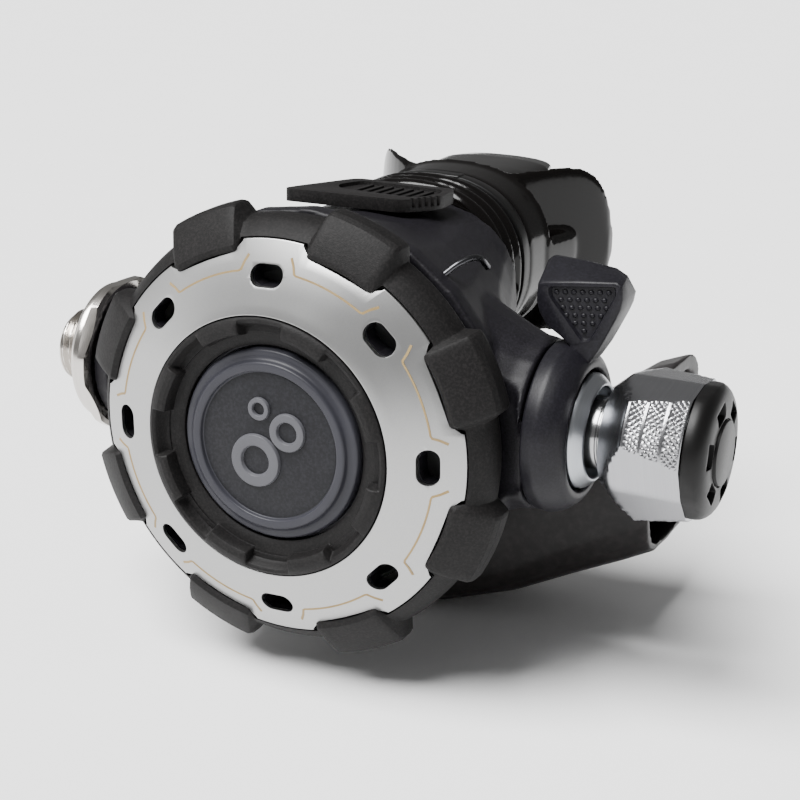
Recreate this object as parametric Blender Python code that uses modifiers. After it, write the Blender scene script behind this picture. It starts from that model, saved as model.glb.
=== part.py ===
"""Scuba regulator second stage: a balanced demand valve with front cover, exhaust tee and mouthpiece.

Frame: the valve barrel lies along X with the inlet nipple's end face at the origin, +X runs to the
breathing-resistance knob, the front cover faces -Y, the mouthpiece points to +Y, and Z is up.
"""

import bmesh
import bpy
from math import cos, pi, radians, sin, sqrt, tan
from mathutils import Euler, Matrix, Vector

MM = 0.001

# --- driving dimensions, millimetres -------------------------------------------------------------
COVER_STEPS = 36  # sides of the large round pieces; no multiple of the eight slots
GAP = 0.3  # face-to-face clearance between neighbouring pieces
COVER_X = 59.0  # cover axis, along the barrel from the nipple's end
COVER_Z = -3.3  # cover axis below the barrel axis
PLATE_FRONT = 24.8  # slot circle of the fascia, ahead of the barrel axis
COVER_CLOCK = -1.7  # degrees, where the threaded cover comes to rest

PLATE_IN, PLATE_SLOT, PLATE_OUT, PLATE_NOTCH = 23.6, 30.1, 36.0, 34.0  # fascia radii
PLATE_IN_D, PLATE_OUT_D, PLATE_T = -2.55, 2.8, 0.9  # dish of the fascia and its thickness
SLOT_COUNT, SLOT_LONG, SLOT_SHORT = 8, 6.4, 3.8
BUMP_OUT, BAND_OUT, RING_BACK = 42.0, 39.3, 11.0  # rubber bumper, radii and depth
BUMP_HALF_OUT, BUMP_HALF_IN = 8.7, 12.0  # degrees, half width of one block outside and inside
BUTTON_R, BUTTON_D = 17.4, -1.7  # purge button
DIAPHRAGM_D = 8.4  # front of the diaphragm behind the slot circle

CASE_R, CASE_FLANGE_T = 39.3, 3.4
CASE_WALL = 2.4
BOSS_R = 15.3  # barrel boss of the case, right end
BOSS_LEFT, BOSS_RIGHT = 13.2, 100.9
BARREL_R = 8.5
VANE_R = 9.7  # sleeve of the venturi vane, round the barrel
NIPPLE_R = 7.14  # 9/16-18 UNF male thread
NIPPLE_LEN = 8.5
THREAD_PITCH = 1.411
INLET_BORE_R = 3.1
VALVE_BORE_R = 6.4
ADJUST_BORE_R = 7.0
FLANGE_R, FLANGE_T = 13.5, 1.6
NUT_FLAT, NUT_CORNER, NUT_T = 14.2, 15.0, 2.7

LEVER_RING_R, LEVER_RING_X0, LEVER_RING_X1 = 15.3, 101.3, 108.4
COLLAR_R, COLLAR_X0, COLLAR_X1 = 10.3, 104.2, 110.6
SPINDLE_R = 6.4
KNOB_X0, KNOB_X1, KNOB_FULL_X = 113.2, 130.0, 118.6
KNOB_R_IN, KNOB_R_OUT, KNOB_NECK_R = 14.2, 12.3, 9.2
KNOB_FLAT, KNOB_FLAT_TURN = 11.46, 52.0  # a flat's distance from the axis and its turn from the land
CAP_X1, CAP_DISC_R = 132.9, 5.5

MOUTH_Z = 16.0
MOUTH_A, MOUTH_B = 19.5, 17.0  # outer half width and half height of the mouthpiece neck
STUB_A, STUB_B = 15.6, 11.6  # case tube that the neck slides over
STUB_BORE_A, STUB_BORE_B = 13.6, 9.6
NECK_Y0, NECK_Y1 = 28.9, 52.0
FLANGE_HALF_W, FLANGE_HALF_H, FLANGE_SWEEP = 26.8, 16.0, 20.5

TEE_HALF = 54.0  # half span of the exhaust tee
TEE_POWER = 4.0  # squareness of its rounded section
TEE_WALL = 2.2
PORT_R, PORT_Y, PORT_BOTTOM, PORT_TOP = 12.6, 25.0, -30.5, -3.6

# --- scene ---------------------------------------------------------------------------------------
for old in list(bpy.data.objects):
    bpy.data.objects.remove(old, do_unlink=True)

parts = bpy.data.collections.new("regulator_second_stage")
cutters = bpy.data.collections.new("cutters")
bpy.context.scene.collection.children.link(parts)
bpy.context.scene.collection.children.link(cutters)


def material(name, colour, roughness, metallic=0.0):
    made = bpy.data.materials.new(name)
    made.use_nodes = True
    shader = made.node_tree.nodes["Principled BSDF"]
    shader.inputs["Base Color"].default_value = (*colour, 1.0)
    shader.inputs["Roughness"].default_value = roughness
    shader.inputs["Metallic"].default_value = metallic
    return made


RUBBER = material("black rubber", (0.020, 0.019, 0.019), 0.62)
GLOSS = material("glossy black silicone", (0.008, 0.008, 0.008), 0.18)
CLEAR = material("translucent silicone", (0.35, 0.36, 0.36), 0.35)
PLASTIC = material("grained dark plastic", (0.045, 0.045, 0.048), 0.5)
BUTTON = material("grey rubber", (0.070, 0.072, 0.078), 0.45)
SATIN = material("blasted steel", (0.70, 0.70, 0.69), 0.38, 1.0)
BRIGHT = material("turned aluminium", (0.80, 0.80, 0.80), 0.22, 1.0)
CHROME = material("chromed brass", (0.72, 0.71, 0.69), 0.12, 1.0)
SPRING = material("spring steel", (0.55, 0.55, 0.54), 0.25, 1.0)
WHITE = material("white acetal", (0.75, 0.75, 0.72), 0.4)


# --- helpers -------------------------------------------------------------------------------------
def empty(name, place, turn=(0.0, 0.0, 0.0)):
    made = bpy.data.objects.new(name, None)
    made.location = Vector(place) * MM
    made.rotation_euler = Euler([radians(a) for a in turn])
    parts.objects.link(made)
    return made


def put(name, mesh, look=None, parent=None, place=(0.0, 0.0, 0.0), cutter=False):
    made = bpy.data.objects.new(name, mesh)
    (cutters if cutter else parts).objects.link(made)
    made.location = Vector(place) * MM
    made.parent = parent
    if cutter:
        made.hide_render = True
        made.display_type = "WIRE"
    if look:
        mesh.materials.append(look)
    return made


def smooth(obj, angle=35):
    obj.data.shade_smooth()
    obj.data.set_sharp_from_angle(angle=radians(angle))
    return obj


def turned(name, profile, look=None, parent=None, steps=48, cutter=False):
    """A solid turned about local Z. profile is (radius, height) in mm, closed unless it ends on the axis."""
    points = list(profile)
    area = sum(a[0] * b[1] - b[0] * a[1] for a, b in zip(points, points[1:] + points[:1]))
    if area > 0:
        points.reverse()
    mesh = bpy.data.meshes.new(name)
    open_ends = min(p[0] for p in points) <= 0.0
    if open_ends:
        while not (points[0][0] == 0.0 and points[-1][0] == 0.0):
            points.append(points.pop(0))
    edges = [(i, i + 1) for i in range(len(points) - 1)]
    if not open_ends:
        edges.append((len(points) - 1, 0))
    mesh.from_pydata([(r * MM, 0.0, h * MM) for r, h in points], edges, [])
    made = put(name, mesh, look, parent, cutter=cutter)
    screw = made.modifiers.new("turn", "SCREW")
    screw.axis, screw.angle, screw.steps, screw.render_steps = "Z", 2 * pi, steps, steps
    screw.use_merge_vertices, screw.merge_threshold = True, 1e-6
    screw.use_normal_calculate = False
    return made


def loft(name, rings, look=None, parent=None, cutter=False, round_trip=False):
    """A closed solid through rings of equal point count, capped at both ends or joined last to first; mm."""
    mesh = bpy.data.meshes.new(name)
    bm = bmesh.new()
    rows = [[bm.verts.new(Vector(p) * MM) for p in ring] for ring in rings]
    count = len(rows[0])
    for a, b in zip(rows, rows[1:] + rows[:1] if round_trip else rows[1:]):
        for i in range(count):
            bm.faces.new((a[i], a[(i + 1) % count], b[(i + 1) % count], b[i]))
    if not round_trip:
        bm.faces.new(rows[0])
        bm.faces.new(rows[-1])
    bmesh.ops.triangulate(bm, faces=[f for f in bm.faces if len(f.verts) == 4])
    bmesh.ops.recalc_face_normals(bm, faces=bm.faces)
    bm.to_mesh(mesh)
    bm.free()
    return put(name, mesh, look, parent, cutter=cutter)


def prism(name, outline, depth, look=None, parent=None, cutter=False, bevel=0.0):
    """An outline in local XY, extruded from depth[0] to depth[1] along local Z; mm."""
    mesh = bpy.data.meshes.new(name)
    bm = bmesh.new()
    face = bm.faces.new([bm.verts.new((x * MM, y * MM, depth[0] * MM)) for x, y in outline])
    grown = bmesh.ops.extrude_face_region(bm, geom=[face])
    lifted = [v for v in grown["geom"] if isinstance(v, bmesh.types.BMVert)]
    bmesh.ops.translate(bm, verts=lifted, vec=(0, 0, (depth[1] - depth[0]) * MM))
    bmesh.ops.recalc_face_normals(bm, faces=bm.faces)
    bm.to_mesh(mesh)
    bm.free()
    made = put(name, mesh, look, parent, cutter=cutter)
    if bevel:
        edge = made.modifiers.new("edge", "BEVEL")
        edge.width, edge.segments, edge.limit_method = bevel * MM, 1, "ANGLE"
        edge.angle_limit = radians(40)
    return made


def cylinder(name, radius, depth, look=None, parent=None, cutter=False, sides=32):
    """A cylinder along local Z from depth[0] to depth[1]; mm."""
    mesh = bpy.data.meshes.new(name)
    bm = bmesh.new()
    bmesh.ops.create_cone(bm, cap_ends=True, segments=sides, radius1=radius * MM, radius2=radius * MM,
                          depth=(depth[1] - depth[0]) * MM)
    bmesh.ops.translate(bm, verts=bm.verts, vec=(0, 0, (depth[0] + depth[1]) / 2 * MM))
    bm.to_mesh(mesh)
    bm.free()
    return put(name, mesh, look, parent, cutter=cutter)


def block(name, low, high, look=None, parent=None, cutter=False):
    mesh = bpy.data.meshes.new(name)
    bm = bmesh.new()
    bmesh.ops.create_cube(bm, size=1.0)
    for v in bm.verts:
        v.co = Vector([(low[i] if v.co[i] < 0 else high[i]) * MM for i in range(3)])
    bm.to_mesh(mesh)
    bm.free()
    return put(name, mesh, look, parent, cutter=cutter)


def boolean(obj, other, operation="DIFFERENCE"):
    step = obj.modifiers.new(operation.lower() + " " + other.name, "BOOLEAN")
    step.operation, step.object, step.solver = operation, other, "EXACT"
    return obj


def tube(name, path, radius, look=None, parent=None, sides_step=2):
    curve = bpy.data.curves.new(name, "CURVE")
    curve.dimensions = "3D"
    curve.bevel_depth, curve.bevel_resolution, curve.use_fill_caps = radius * MM, sides_step, True
    spline = curve.splines.new("POLY")
    spline.points.add(len(path) - 1)
    for point, co in zip(spline.points, path):
        point.co = (*(Vector(co) * MM), 1.0)
    return put(name, curve, look, parent)


def ellipse_y(y, centre_x, low_z, high_z, half_w, power=2.0, count=24):
    """A superellipse in the plane of one Y, given its lowest and highest Z."""
    mid, half_h, ring = (low_z + high_z) / 2, (high_z - low_z) / 2, []
    for i in range(count):
        a = 2 * pi * i / count
        c, s = cos(a), sin(a)
        ring.append((centre_x + half_w * abs(c) ** (2 / power) * (1 if c >= 0 else -1), y,
                     mid + half_h * abs(s) ** (2 / power) * (1 if s >= 0 else -1)))
    return ring


def ellipse_x(x, low_y, high_y, low_z, high_z, power=2.0, count=20):
    return [(x, p[0], p[2]) for p in ellipse_y(0, (low_y + high_y) / 2, low_z, high_z, (high_y - low_y)
                                               / 2, power, count)]


def inset(ring, by):
    """The ring moved towards its own middle by about this much."""
    mid = sum((Vector(p) for p in ring), Vector()) / len(ring)
    made = []
    for p in ring:
        arm = Vector(p) - mid
        made.append(tuple(mid + arm * (1 - by / arm.length)))
    return made


# Local Z of this empty points forwards (-Y) from the slot circle, so a height is -depth.
front = empty("cover_axis", (COVER_X, -PLATE_FRONT, COVER_Z), (90, 0, 0))
clock = empty("cover_clock", (0, 0, 0), (0, 0, -COVER_CLOCK))
clock.parent = front
# Local Z of this one points along the barrel (+X).
barrel_axis = empty("barrel_axis", (0, 0, 0), (0, 90, 0))


def plate_depth(radius):
    """Depth of the fascia's front surface behind the slot circle at this radius."""
    if radius < PLATE_SLOT:
        return PLATE_IN_D * (PLATE_SLOT - radius) / (PLATE_SLOT - PLATE_IN)
    return PLATE_OUT_D * (radius - PLATE_SLOT) / (PLATE_OUT - PLATE_SLOT)


def around(count, offset=0.0):
    return [radians(offset + 360.0 * i / count) for i in range(count)]


# --- front cover ---------------------------------------------------------------------------------
slot_holes = []
for n, a in enumerate(around(SLOT_COUNT)):
    half, cap = SLOT_LONG / 2 - SLOT_SHORT / 2, SLOT_SHORT / 2
    arc = [(half + cap * cos(t), cap * sin(t)) for t in [radians(-90 + 45 * k) for k in range(5)]]
    arc += [(-x, -y) for x, y in arc]
    turn = Matrix.Rotation(-a, 2)
    moved = [turn @ Vector((x, y + PLATE_SLOT)) for x, y in arc]
    slot_holes.append(prism(f"slot_cut_{n}", [tuple(p) for p in moved], (-12, 12), parent=clock,
                            cutter=True))

notches = []
for n, a in enumerate(around(SLOT_COUNT, 22.5)):
    wide, deep = radians(BUMP_HALF_IN + 1.4), radians(BUMP_HALF_IN - 1.6)
    corners = [(PLATE_NOTCH, -deep), (PLATE_NOTCH, 0), (PLATE_NOTCH, deep), (PLATE_OUT + 1, wide),
               (PLATE_OUT + 4, 0), (PLATE_OUT + 1, -wide)]
    outline = [(r * sin(a + t), r * cos(a + t)) for r, t in corners]
    notches.append(prism(f"notch_cut_{n}", outline, (-12, 12), parent=clock, cutter=True))

fascia = turned("fascia_plate", [
    (PLATE_IN, -plate_depth(PLATE_IN)), (PLATE_SLOT, 0.0), (PLATE_OUT, -PLATE_OUT_D),
    (PLATE_OUT, -PLATE_OUT_D - PLATE_T), (PLATE_SLOT, -PLATE_T), (PLATE_IN, -plate_depth(PLATE_IN)
    - PLATE_T),
], SATIN, clock, steps=COVER_STEPS)
for cut in slot_holes + notches:
    boolean(fascia, cut)

# Rubber bumper: one band whose section swells into eight blocks, lofted round the cover's axis.
seat = PLATE_T + GAP
under_low, under_high = -PLATE_OUT_D - seat, -plate_depth(PLATE_NOTCH) - seat
hidden = [(36.6, -RING_BACK), (36.6, -6.0), (33.4, -4.0), (33.4, -plate_depth(33.4) - seat)]
band_section = [(PLATE_OUT, under_low), (PLATE_OUT + GAP, under_low), (PLATE_OUT + GAP, -3.2),
                (37.4, -4.6), (38.6, -6.2),
                (BAND_OUT, -7.6), (BAND_OUT, -10.4), (BAND_OUT - 0.8, -RING_BACK)] + hidden
block_section = [(PLATE_NOTCH, under_high), (PLATE_NOTCH + GAP, under_high), (PLATE_NOTCH + GAP, -1.9),
                 (35.2, -1.4),
                 (BUMP_OUT - 0.5, -5.4), (BUMP_OUT, -6.6), (BUMP_OUT, -9.6), (BUMP_OUT - 0.8,
                 -10.6)] + hidden


def block_edge(radius, inner, outer):
    """Half angle of a block at this radius: it narrows from its inner edge to its outer one."""
    t = min(max((radius - PLATE_NOTCH) / (BUMP_OUT - PLATE_NOTCH), 0.0), 1.0)
    return inner + (outer - inner) * t


bumper_rings = []
for n in range(SLOT_COUNT):
    mid = 22.5 + 360.0 / SLOT_COUNT * n
    stations = [(band_section, -1, BUMP_HALF_IN + 0.6, BUMP_HALF_OUT + 2.2), (block_section, -1,
        BUMP_HALF_IN - 1.9, BUMP_HALF_OUT),
                (block_section, -0.4, BUMP_HALF_IN - 1.9, BUMP_HALF_OUT), (block_section, 0.4, BUMP_HALF_IN
                - 1.9, BUMP_HALF_OUT),
                (block_section, 1, BUMP_HALF_IN - 1.9, BUMP_HALF_OUT), (band_section, 1, BUMP_HALF_IN
                + 0.6, BUMP_HALF_OUT + 2.2),
                (band_section, 1, 22.5, 22.5)]
    for section, share, inner, outer in stations:
        ring = []
        for r, h in section:
            a = radians(mid + share * block_edge(r, inner, outer))
            ring.append((r * sin(a), r * cos(a), h))
        bumper_rings.append(ring)
bumper = loft("bumper_ring", bumper_rings, RUBBER, clock, round_trip=True)

# Plastic cover body behind the fascia, with the water ports and the thread skirt.
body_in = 20.6
seat_h = -DIAPHRAGM_D + 1.6  # front of the seat that the purge spring stands on
cover_body = turned("cover_body", [
    (body_in, 0.9), (PLATE_IN + 0.4, 0.9),
    (PLATE_SLOT, -seat), (33.1, -plate_depth(33.1) - seat), (33.1, -4.3), (36.3, -6.3),
    (36.3, -RING_BACK - 1.4),
    (34.6, -RING_BACK - 1.4), (34.6, -7.6), (33.4, -6.2), (31.0, -4.4), (24.0, -3.0), (22.4, -4.4),
    (21.6, seat_h - 0.8),
    (16.4, seat_h - 0.8), (16.4, seat_h), (body_in, seat_h),
], PLASTIC, clock, steps=COVER_STEPS)
for cut in slot_holes:
    boolean(cover_body, cut)

# Castellated rubber trim ring between the fascia and the purge button.
trim = turned("castellated_ring", [
    (20.2, 3.2), (21.0, 3.5), (22.6, 3.5), (23.3, 3.0), (23.3, 1.2), (20.3, 1.2), (20.3, -1.4),
    (17.7, -1.4),
    (17.7, -0.2), (18.8, 0.2),
], RUBBER, clock, steps=COVER_STEPS)
for n, a in enumerate(around(12, 15)):
    gap_half = radians(7.5)
    outline = [(r * sin(a + t), r * cos(a + t)) for r, t in ((19.2, -gap_half), (19.2, gap_half),
        (22.4, gap_half), (22.4, -gap_half))]
    boolean(trim, prism(f"castle_cut_{n}", outline, (2.4, 6), parent=clock, cutter=True))

# Purge button, with a raised rim and a plain round boss as its mark; its stem pushes the diaphragm.
button_front = -BUTTON_D
button = turned("purge_button", [
    (0.0, button_front - 0.5), (13.2, button_front - 0.9), (13.7, button_front + 0.1),
    (15.2, button_front + 0.1), (16.0, button_front - 0.9), (17.0, button_front - 1.1),
    (BUTTON_R, button_front - 1.8),
    (BUTTON_R, -1.7), (19.6, -1.7), (19.6, -2.7), (16.2, -2.7), (16.2, -0.6), (4.2, -0.6),
    (4.2, 1.0 - DIAPHRAGM_D),
    (3.4, 0.3 - DIAPHRAGM_D), (0.0, 0.3 - DIAPHRAGM_D),
], BUTTON, clock, steps=32)
mark = prism("button_mark", [(x, y) for x, y in ((-7.2, -5.2), (7.2, -5.2), (7.2, 5.2), (-7.2, 5.2))],
             (button_front - 2.0, button_front + 0.1), parent=clock, cutter=True)
boolean(button, mark, "UNION")

coil_turns, coil_r, coil_wire = 2, 18.3, 0.35
coil_top, coil_drop = -2.7 - coil_wire - 0.1, -2.7 - seat_h - 2 * coil_wire - 0.2
coil = [(coil_r * cos(2 * pi * k / 20), coil_r * sin(2 * pi * k / 20), coil_top - coil_drop * k
         / (20 * coil_turns))
        for k in range(20 * coil_turns + 1)]
purge_spring = tube("purge_spring", coil, coil_wire, SPRING, clock, sides_step=0)

# --- diaphragm stack -----------------------------------------------------------------------------
dz = -DIAPHRAGM_D
plate_r = 18.0
diaphragm_plate = turned("diaphragm_plate", [(0.0, dz), (plate_r, dz), (plate_r, dz - 0.6),
                                             (0.0, dz - 0.6)], SATIN, front, steps=36)
diaphragm = turned("diaphragm", [
    (plate_r + GAP, dz - 0.1), (20.5, dz - 0.1), (25.0, dz - 1.1), (29.0, dz - 0.7), (30.8, dz - 4.4),
    (33.6, dz - 4.4), (33.6, dz - 6.2), (30.2, dz - 6.2), (28.6, dz - 1.6), (25.0, dz - 2.0),
    (20.5, dz - 0.9), (plate_r + GAP, dz - 0.9),
], CLEAR, front, steps=36)
slip_ring = turned("slip_ring", [
    (31.2, dz - 3.1), (33.9, dz - 3.1), (33.9, dz - 4.1), (31.2, dz - 4.1),
], WHITE, front, steps=36)

# --- case ----------------------------------------------------------------------------------------
flange_y = -PLATE_FRONT + RING_BACK + 2.0
top_z, low_z = 31.2, -36.0
case_rings = [
    ellipse_y(flange_y, COVER_X, COVER_Z - CASE_R, COVER_Z + CASE_R, CASE_R, 2.0),
    ellipse_y(flange_y + CASE_FLANGE_T, COVER_X, COVER_Z - CASE_R, COVER_Z + CASE_R, CASE_R, 2.0),
    ellipse_y(-2.0, COVER_X, -40.0, 34.0, 37.0, 2.1),
    ellipse_y(7.0, COVER_X, -34.0, 31.6, 32.5, 2.4),
    ellipse_y(17.0, COVER_X, -25.0, top_z, 27.5, 2.6),
    ellipse_y(24.0, COVER_X, -15.0, top_z, 25.0, 2.6),
    ellipse_y(NECK_Y0 - GAP, COVER_X, -4.0, top_z, 23.5, 2.5),
]
case = loft("case", case_rings, PLASTIC)
boss_right = turned("case_boss_right", [
    (0.0, 70.0), (26.0, 78.0), (20.5, 87.0), (17.2, 94.0), (BOSS_R + 0.3, 98.0), (BOSS_R, BOSS_RIGHT),
    (0.0, BOSS_RIGHT),
], parent=barrel_axis, cutter=True, steps=24)
boss_left = turned("case_boss_left", [
    (0.0, BOSS_LEFT), (13.0, BOSS_LEFT), (13.3, 15.0), (16.0, 23.0), (22.0, 34.0), (28.0, 45.0),
    (0.0, 48.0),
], parent=barrel_axis, cutter=True, steps=24)
stub = loft("case_stub", [ellipse_y(y, COVER_X, MOUTH_Z - STUB_B, MOUTH_Z + STUB_B, STUB_A, 2.4)
                          for y in (20.0, 45.0)], cutter=True)
port = cylinder("case_port", PORT_R, (PORT_BOTTOM, PORT_TOP), cutter=True)
port.location = Vector((COVER_X, PORT_Y, 0)) * MM
for piece in (boss_right, boss_left, stub, port):
    boolean(case, piece, "UNION")

# Room for the screwed-on cover ring, in front of the flange.
recess = cylinder("cover_recess", BUMP_OUT + GAP, (-RING_BACK - 2.0 + 0.02, 40.0), parent=front,
                  cutter=True, sides=40)
boolean(case, recess)
# Main chamber, open to the diaphragm seat.
seat_depth = DIAPHRAGM_D + 6.2 + GAP
chamber = turned("chamber", [(0.0, 10.0), (33.9, 10.0), (33.9, -seat_depth), (30.6, -seat_depth),
                             (30.6, -17.0), (0.0, -17.0)],
                 parent=front, cutter=True, steps=36)
inner = loft("chamber_back", [inset(r, CASE_WALL) for r in (
    ellipse_y(-9.0, COVER_X, -35.0, 29.0, 33.0, 2.1), ellipse_y(-2.0, COVER_X, -37.5, 31.0, 34.6, 2.1),
    ellipse_y(7.0, COVER_X, -32.0, 30.6, 31.0, 2.4), ellipse_y(17.0, COVER_X, -24.0, 30.6, 26.6, 2.6),
    ellipse_y(22.0, COVER_X, -12.0, 30.6, 24.0, 2.6))], cutter=True)
stub_bore = loft("stub_bore", [ellipse_y(y, COVER_X, MOUTH_Z - STUB_BORE_B, MOUTH_Z + STUB_BORE_B,
                                         STUB_BORE_A, 2.4)
                               for y in (15.0, 60.0)], cutter=True)
port_bore = cylinder("port_bore", PORT_R - 2.0, (PORT_BOTTOM + 2.2, PORT_TOP - 2.2), cutter=True)
port_bore.location = Vector((COVER_X, PORT_Y, 0)) * MM
port_windows = [cylinder(f"port_window_{n}", 3.3, (PORT_BOTTOM - 5.0, PORT_BOTTOM + 5.0), cutter=True,
                         sides=20) for n in range(4)]
for n, hole in enumerate(port_windows):
    turn = radians(45 + 90 * n)
    hole.location = Vector((COVER_X + 5.9 * cos(turn), PORT_Y + 5.9 * sin(turn), 0)) * MM
valve_stem_hole = cylinder("valve_stem_hole", 1.8, (PORT_BOTTOM - 5.0, PORT_BOTTOM + 5.0), cutter=True,
                           sides=20)
valve_stem_hole.location = Vector((COVER_X, PORT_Y, 0)) * MM
barrel_bore = cylinder("barrel_bore", BARREL_R + GAP, (0.0, 120.0), parent=barrel_axis, cutter=True,
                       sides=32)
lever_sleeve_bore = cylinder("lever_sleeve_bore", VANE_R + GAP, (60.0, 120.0), parent=barrel_axis,
                             cutter=True, sides=32)
for cut in [chamber, inner, stub_bore, port_bore, valve_stem_hole, barrel_bore,
            lever_sleeve_bore] + port_windows:
    boolean(case, cut)

# --- valve barrel --------------------------------------------------------------------------------
crests = []
x = 0.9
while x < NIPPLE_LEN - 1.2:
    crests += [(NIPPLE_R - 0.75, x), (NIPPLE_R, x + THREAD_PITCH * 0.42), (NIPPLE_R, x + THREAD_PITCH
        * 0.58)]
    x += THREAD_PITCH
flange_x = NIPPLE_LEN
barrel = turned("valve_barrel", [
    (INLET_BORE_R, 0.0), (NIPPLE_R - 0.9, 0.0), (NIPPLE_R - 0.75, 0.7)] + crests + [
    (NIPPLE_R - 0.75, x), (NIPPLE_R + 0.3, flange_x - 0.6), (NIPPLE_R + 0.3, flange_x - 0.4),
    (FLANGE_R - 1.0, flange_x - 0.4), (FLANGE_R, flange_x + 0.4),
    (FLANGE_R, flange_x + FLANGE_T - 0.3), (FLANGE_R - 0.5, flange_x + FLANGE_T),
    (BARREL_R, flange_x + FLANGE_T),
    (BARREL_R, 105.0), (ADJUST_BORE_R, 105.0), (ADJUST_BORE_R, 84.0), (VALVE_BORE_R, 84.0), (VALVE_BORE_R,
    12.5),
    (INLET_BORE_R, 12.5)], CHROME, barrel_axis, steps=24)
outlet_window = block("outlet_window", (40.0, 4.0, -4.2), (66.0, 12.0, 4.2), cutter=True)
lever_window = block("lever_window", (49.5, -12.0, -4.6), (56.0, -4.0, 4.6), cutter=True)
boolean(barrel, outlet_window)
boolean(barrel, lever_window)

nut_x = flange_x + FLANGE_T + GAP
side = NUT_FLAT / cos(pi / 6)
trim_arc = (side - NUT_CORNER) * tan(pi / 3)
nut_outline = []
for k in range(6):
    a = radians(60 * k)
    for off in (-trim_arc, trim_arc):
        nut_outline.append((NUT_CORNER * cos(a) - off * sin(a), NUT_CORNER * sin(a) + off * cos(a)))
# corners face -Y: local X of the barrel empty is world -Z, local Y is world Y
nut_outline = [(y, -x) for x, y in nut_outline]
inlet_nut = prism("inlet_nut", nut_outline, (nut_x, nut_x + NUT_T - GAP), CHROME, barrel_axis)
nut_hole = cylinder("nut_hole", BARREL_R + GAP, (0.0, 30.0), parent=barrel_axis, cutter=True, sides=40)
boolean(inlet_nut, nut_hole)

orifice = turned("orifice", [
    (1.5, 13.0), (5.9, 13.0), (5.9, 14.6), (4.7, 14.6), (4.7, 16.4), (5.9, 16.4), (5.9, 18.6), (3.4, 18.6),
    (2.3, 22.0), (1.5, 22.0),
], BRIGHT, barrel_axis, steps=20)
orifice_o_ring = turned("orifice_o_ring", [(5.55 + 0.6 * cos(radians(60 * k)),
                                            15.5 + 0.6 * sin(radians(60 * k))) for k in range(6)],
                        RUBBER, barrel_axis, steps=20)
lp_seat = turned("lp_seat", [(0.0, 22.3), (2.9, 22.3), (2.9, 24.2), (0.0, 24.2)], RUBBER, barrel_axis,
                 steps=24)
poppet = turned("poppet", [
    (0.0, 24.5), (3.6, 24.5), (3.6, 26.5), (2.6, 27.4), (2.6, 49.0), (5.6, 49.6), (5.6, 51.0), (3.0, 51.6),
    (3.0, 54.4),
    (5.6, 54.6), (5.6, 57.0), (3.2, 57.6), (3.2, 62.0), (0.0, 62.0),
], BRIGHT, barrel_axis, steps=20)
spring_turns = 5
spring_path = [(4.7 * cos(2 * pi * k / 10), 4.7 * sin(2 * pi * k / 10), 58.2 + 15.0 * k
                / (10 * spring_turns))
               for k in range(10 * spring_turns + 1)]
poppet_spring = tube("poppet_spring", spring_path, 0.45, SPRING, barrel_axis, sides_step=0)
balance_chamber = turned("balance_chamber", [
    (0.0, 66.0), (2.4, 66.0), (2.4, 74.0), (5.9, 74.0), (5.9, 87.3), (0.0, 87.3),
], BRIGHT, barrel_axis, steps=20)

# Demand lever: a fork whose feet drop through the window, and a blade under the diaphragm plate.
lever_pivot = empty("demand_lever_pivot", (53.5, -7.2, 0.0))
lever_tip_y = -PLATE_FRONT + DIAPHRAGM_D + 0.9 + GAP
rise = lever_tip_y + 7.2  # of the blade's tip from the pivot, towards the cover
foot = 3.6
demand_lever = prism("demand_lever", [
    (-0.6, 3.0), (-0.6, -0.9), (-10.4, rise + 0.9), (-11.2, rise + 0.1), (-9.8, rise), (-5.0, rise + 2.6),
    (0.6, -1.3), (0.6, 3.0),
], (-foot, foot), SATIN, lever_pivot)

# --- right end: collar, venturi lever, adjuster, knob --------------------------------------------
ring_mid = 104.3
lever_ring = turned("venturi_lever", [
    (BARREL_R + GAP, LEVER_RING_X0), (LEVER_RING_R - 0.3, LEVER_RING_X0), (LEVER_RING_R, LEVER_RING_X0
    + 0.4),
    (LEVER_RING_R, ring_mid), (LEVER_RING_R - 0.9, ring_mid + 1.9), (13.2, ring_mid + 3.5),
    (11.9, LEVER_RING_X1),
    (11.2, LEVER_RING_X1), (COLLAR_R + 0.4, 107.6), (COLLAR_R + 0.4, COLLAR_X0 - GAP), (BARREL_R + GAP,
    COLLAR_X0 - GAP),
], PLASTIC, barrel_axis, steps=30)
pad_front, pad_back = -1.4, 6.4  # world Y of the thumb pad's faces
pad_base = [(105.2, 12.0), (104.6, 15.0), (100.0, 18.2), (98.0, 22.4)]
pad_rest = [(113.6, 24.4), (112.8, 21.2), (110.8, 17.0), (109.8, 15.0), (108.2, 12.0)]
pad_rings = [[(x, y, z) for x, z in pad_base + crown + pad_rest] for y, crown in (
    (pad_front, [(98.1, 25.2), (98.9, 25.8), (112.4, 27.3), (113.3, 26.8)]),
    (pad_back - 1.2, [(97.6, 28.2), (98.5, 29.2), (110.0, 28.4), (112.2, 27.2)]),
    (pad_back, [(98.0, 27.8), (98.9, 28.7), (109.4, 27.9), (111.4, 26.8)]))]
pad = loft("lever_pad", pad_rings, cutter=True)
boolean(lever_ring, pad, "UNION")
vane = turned("venturi_vane", [
    (BARREL_R + GAP, 66.0), (VANE_R, 66.0), (VANE_R, LEVER_RING_X0 - GAP), (BARREL_R + GAP, LEVER_RING_X0
    - GAP),
], PLASTIC, barrel_axis, steps=24)
flap = block("vane_flap", (60.0, 3.6, 8.0), (74.0, 6.0, 14.2), cutter=True)
boolean(vane, flap, "UNION")
boolean(vane, cylinder("vane_clear", BARREL_R + GAP, (50.0, 120.0), parent=barrel_axis, cutter=True,
                       sides=40))

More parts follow.
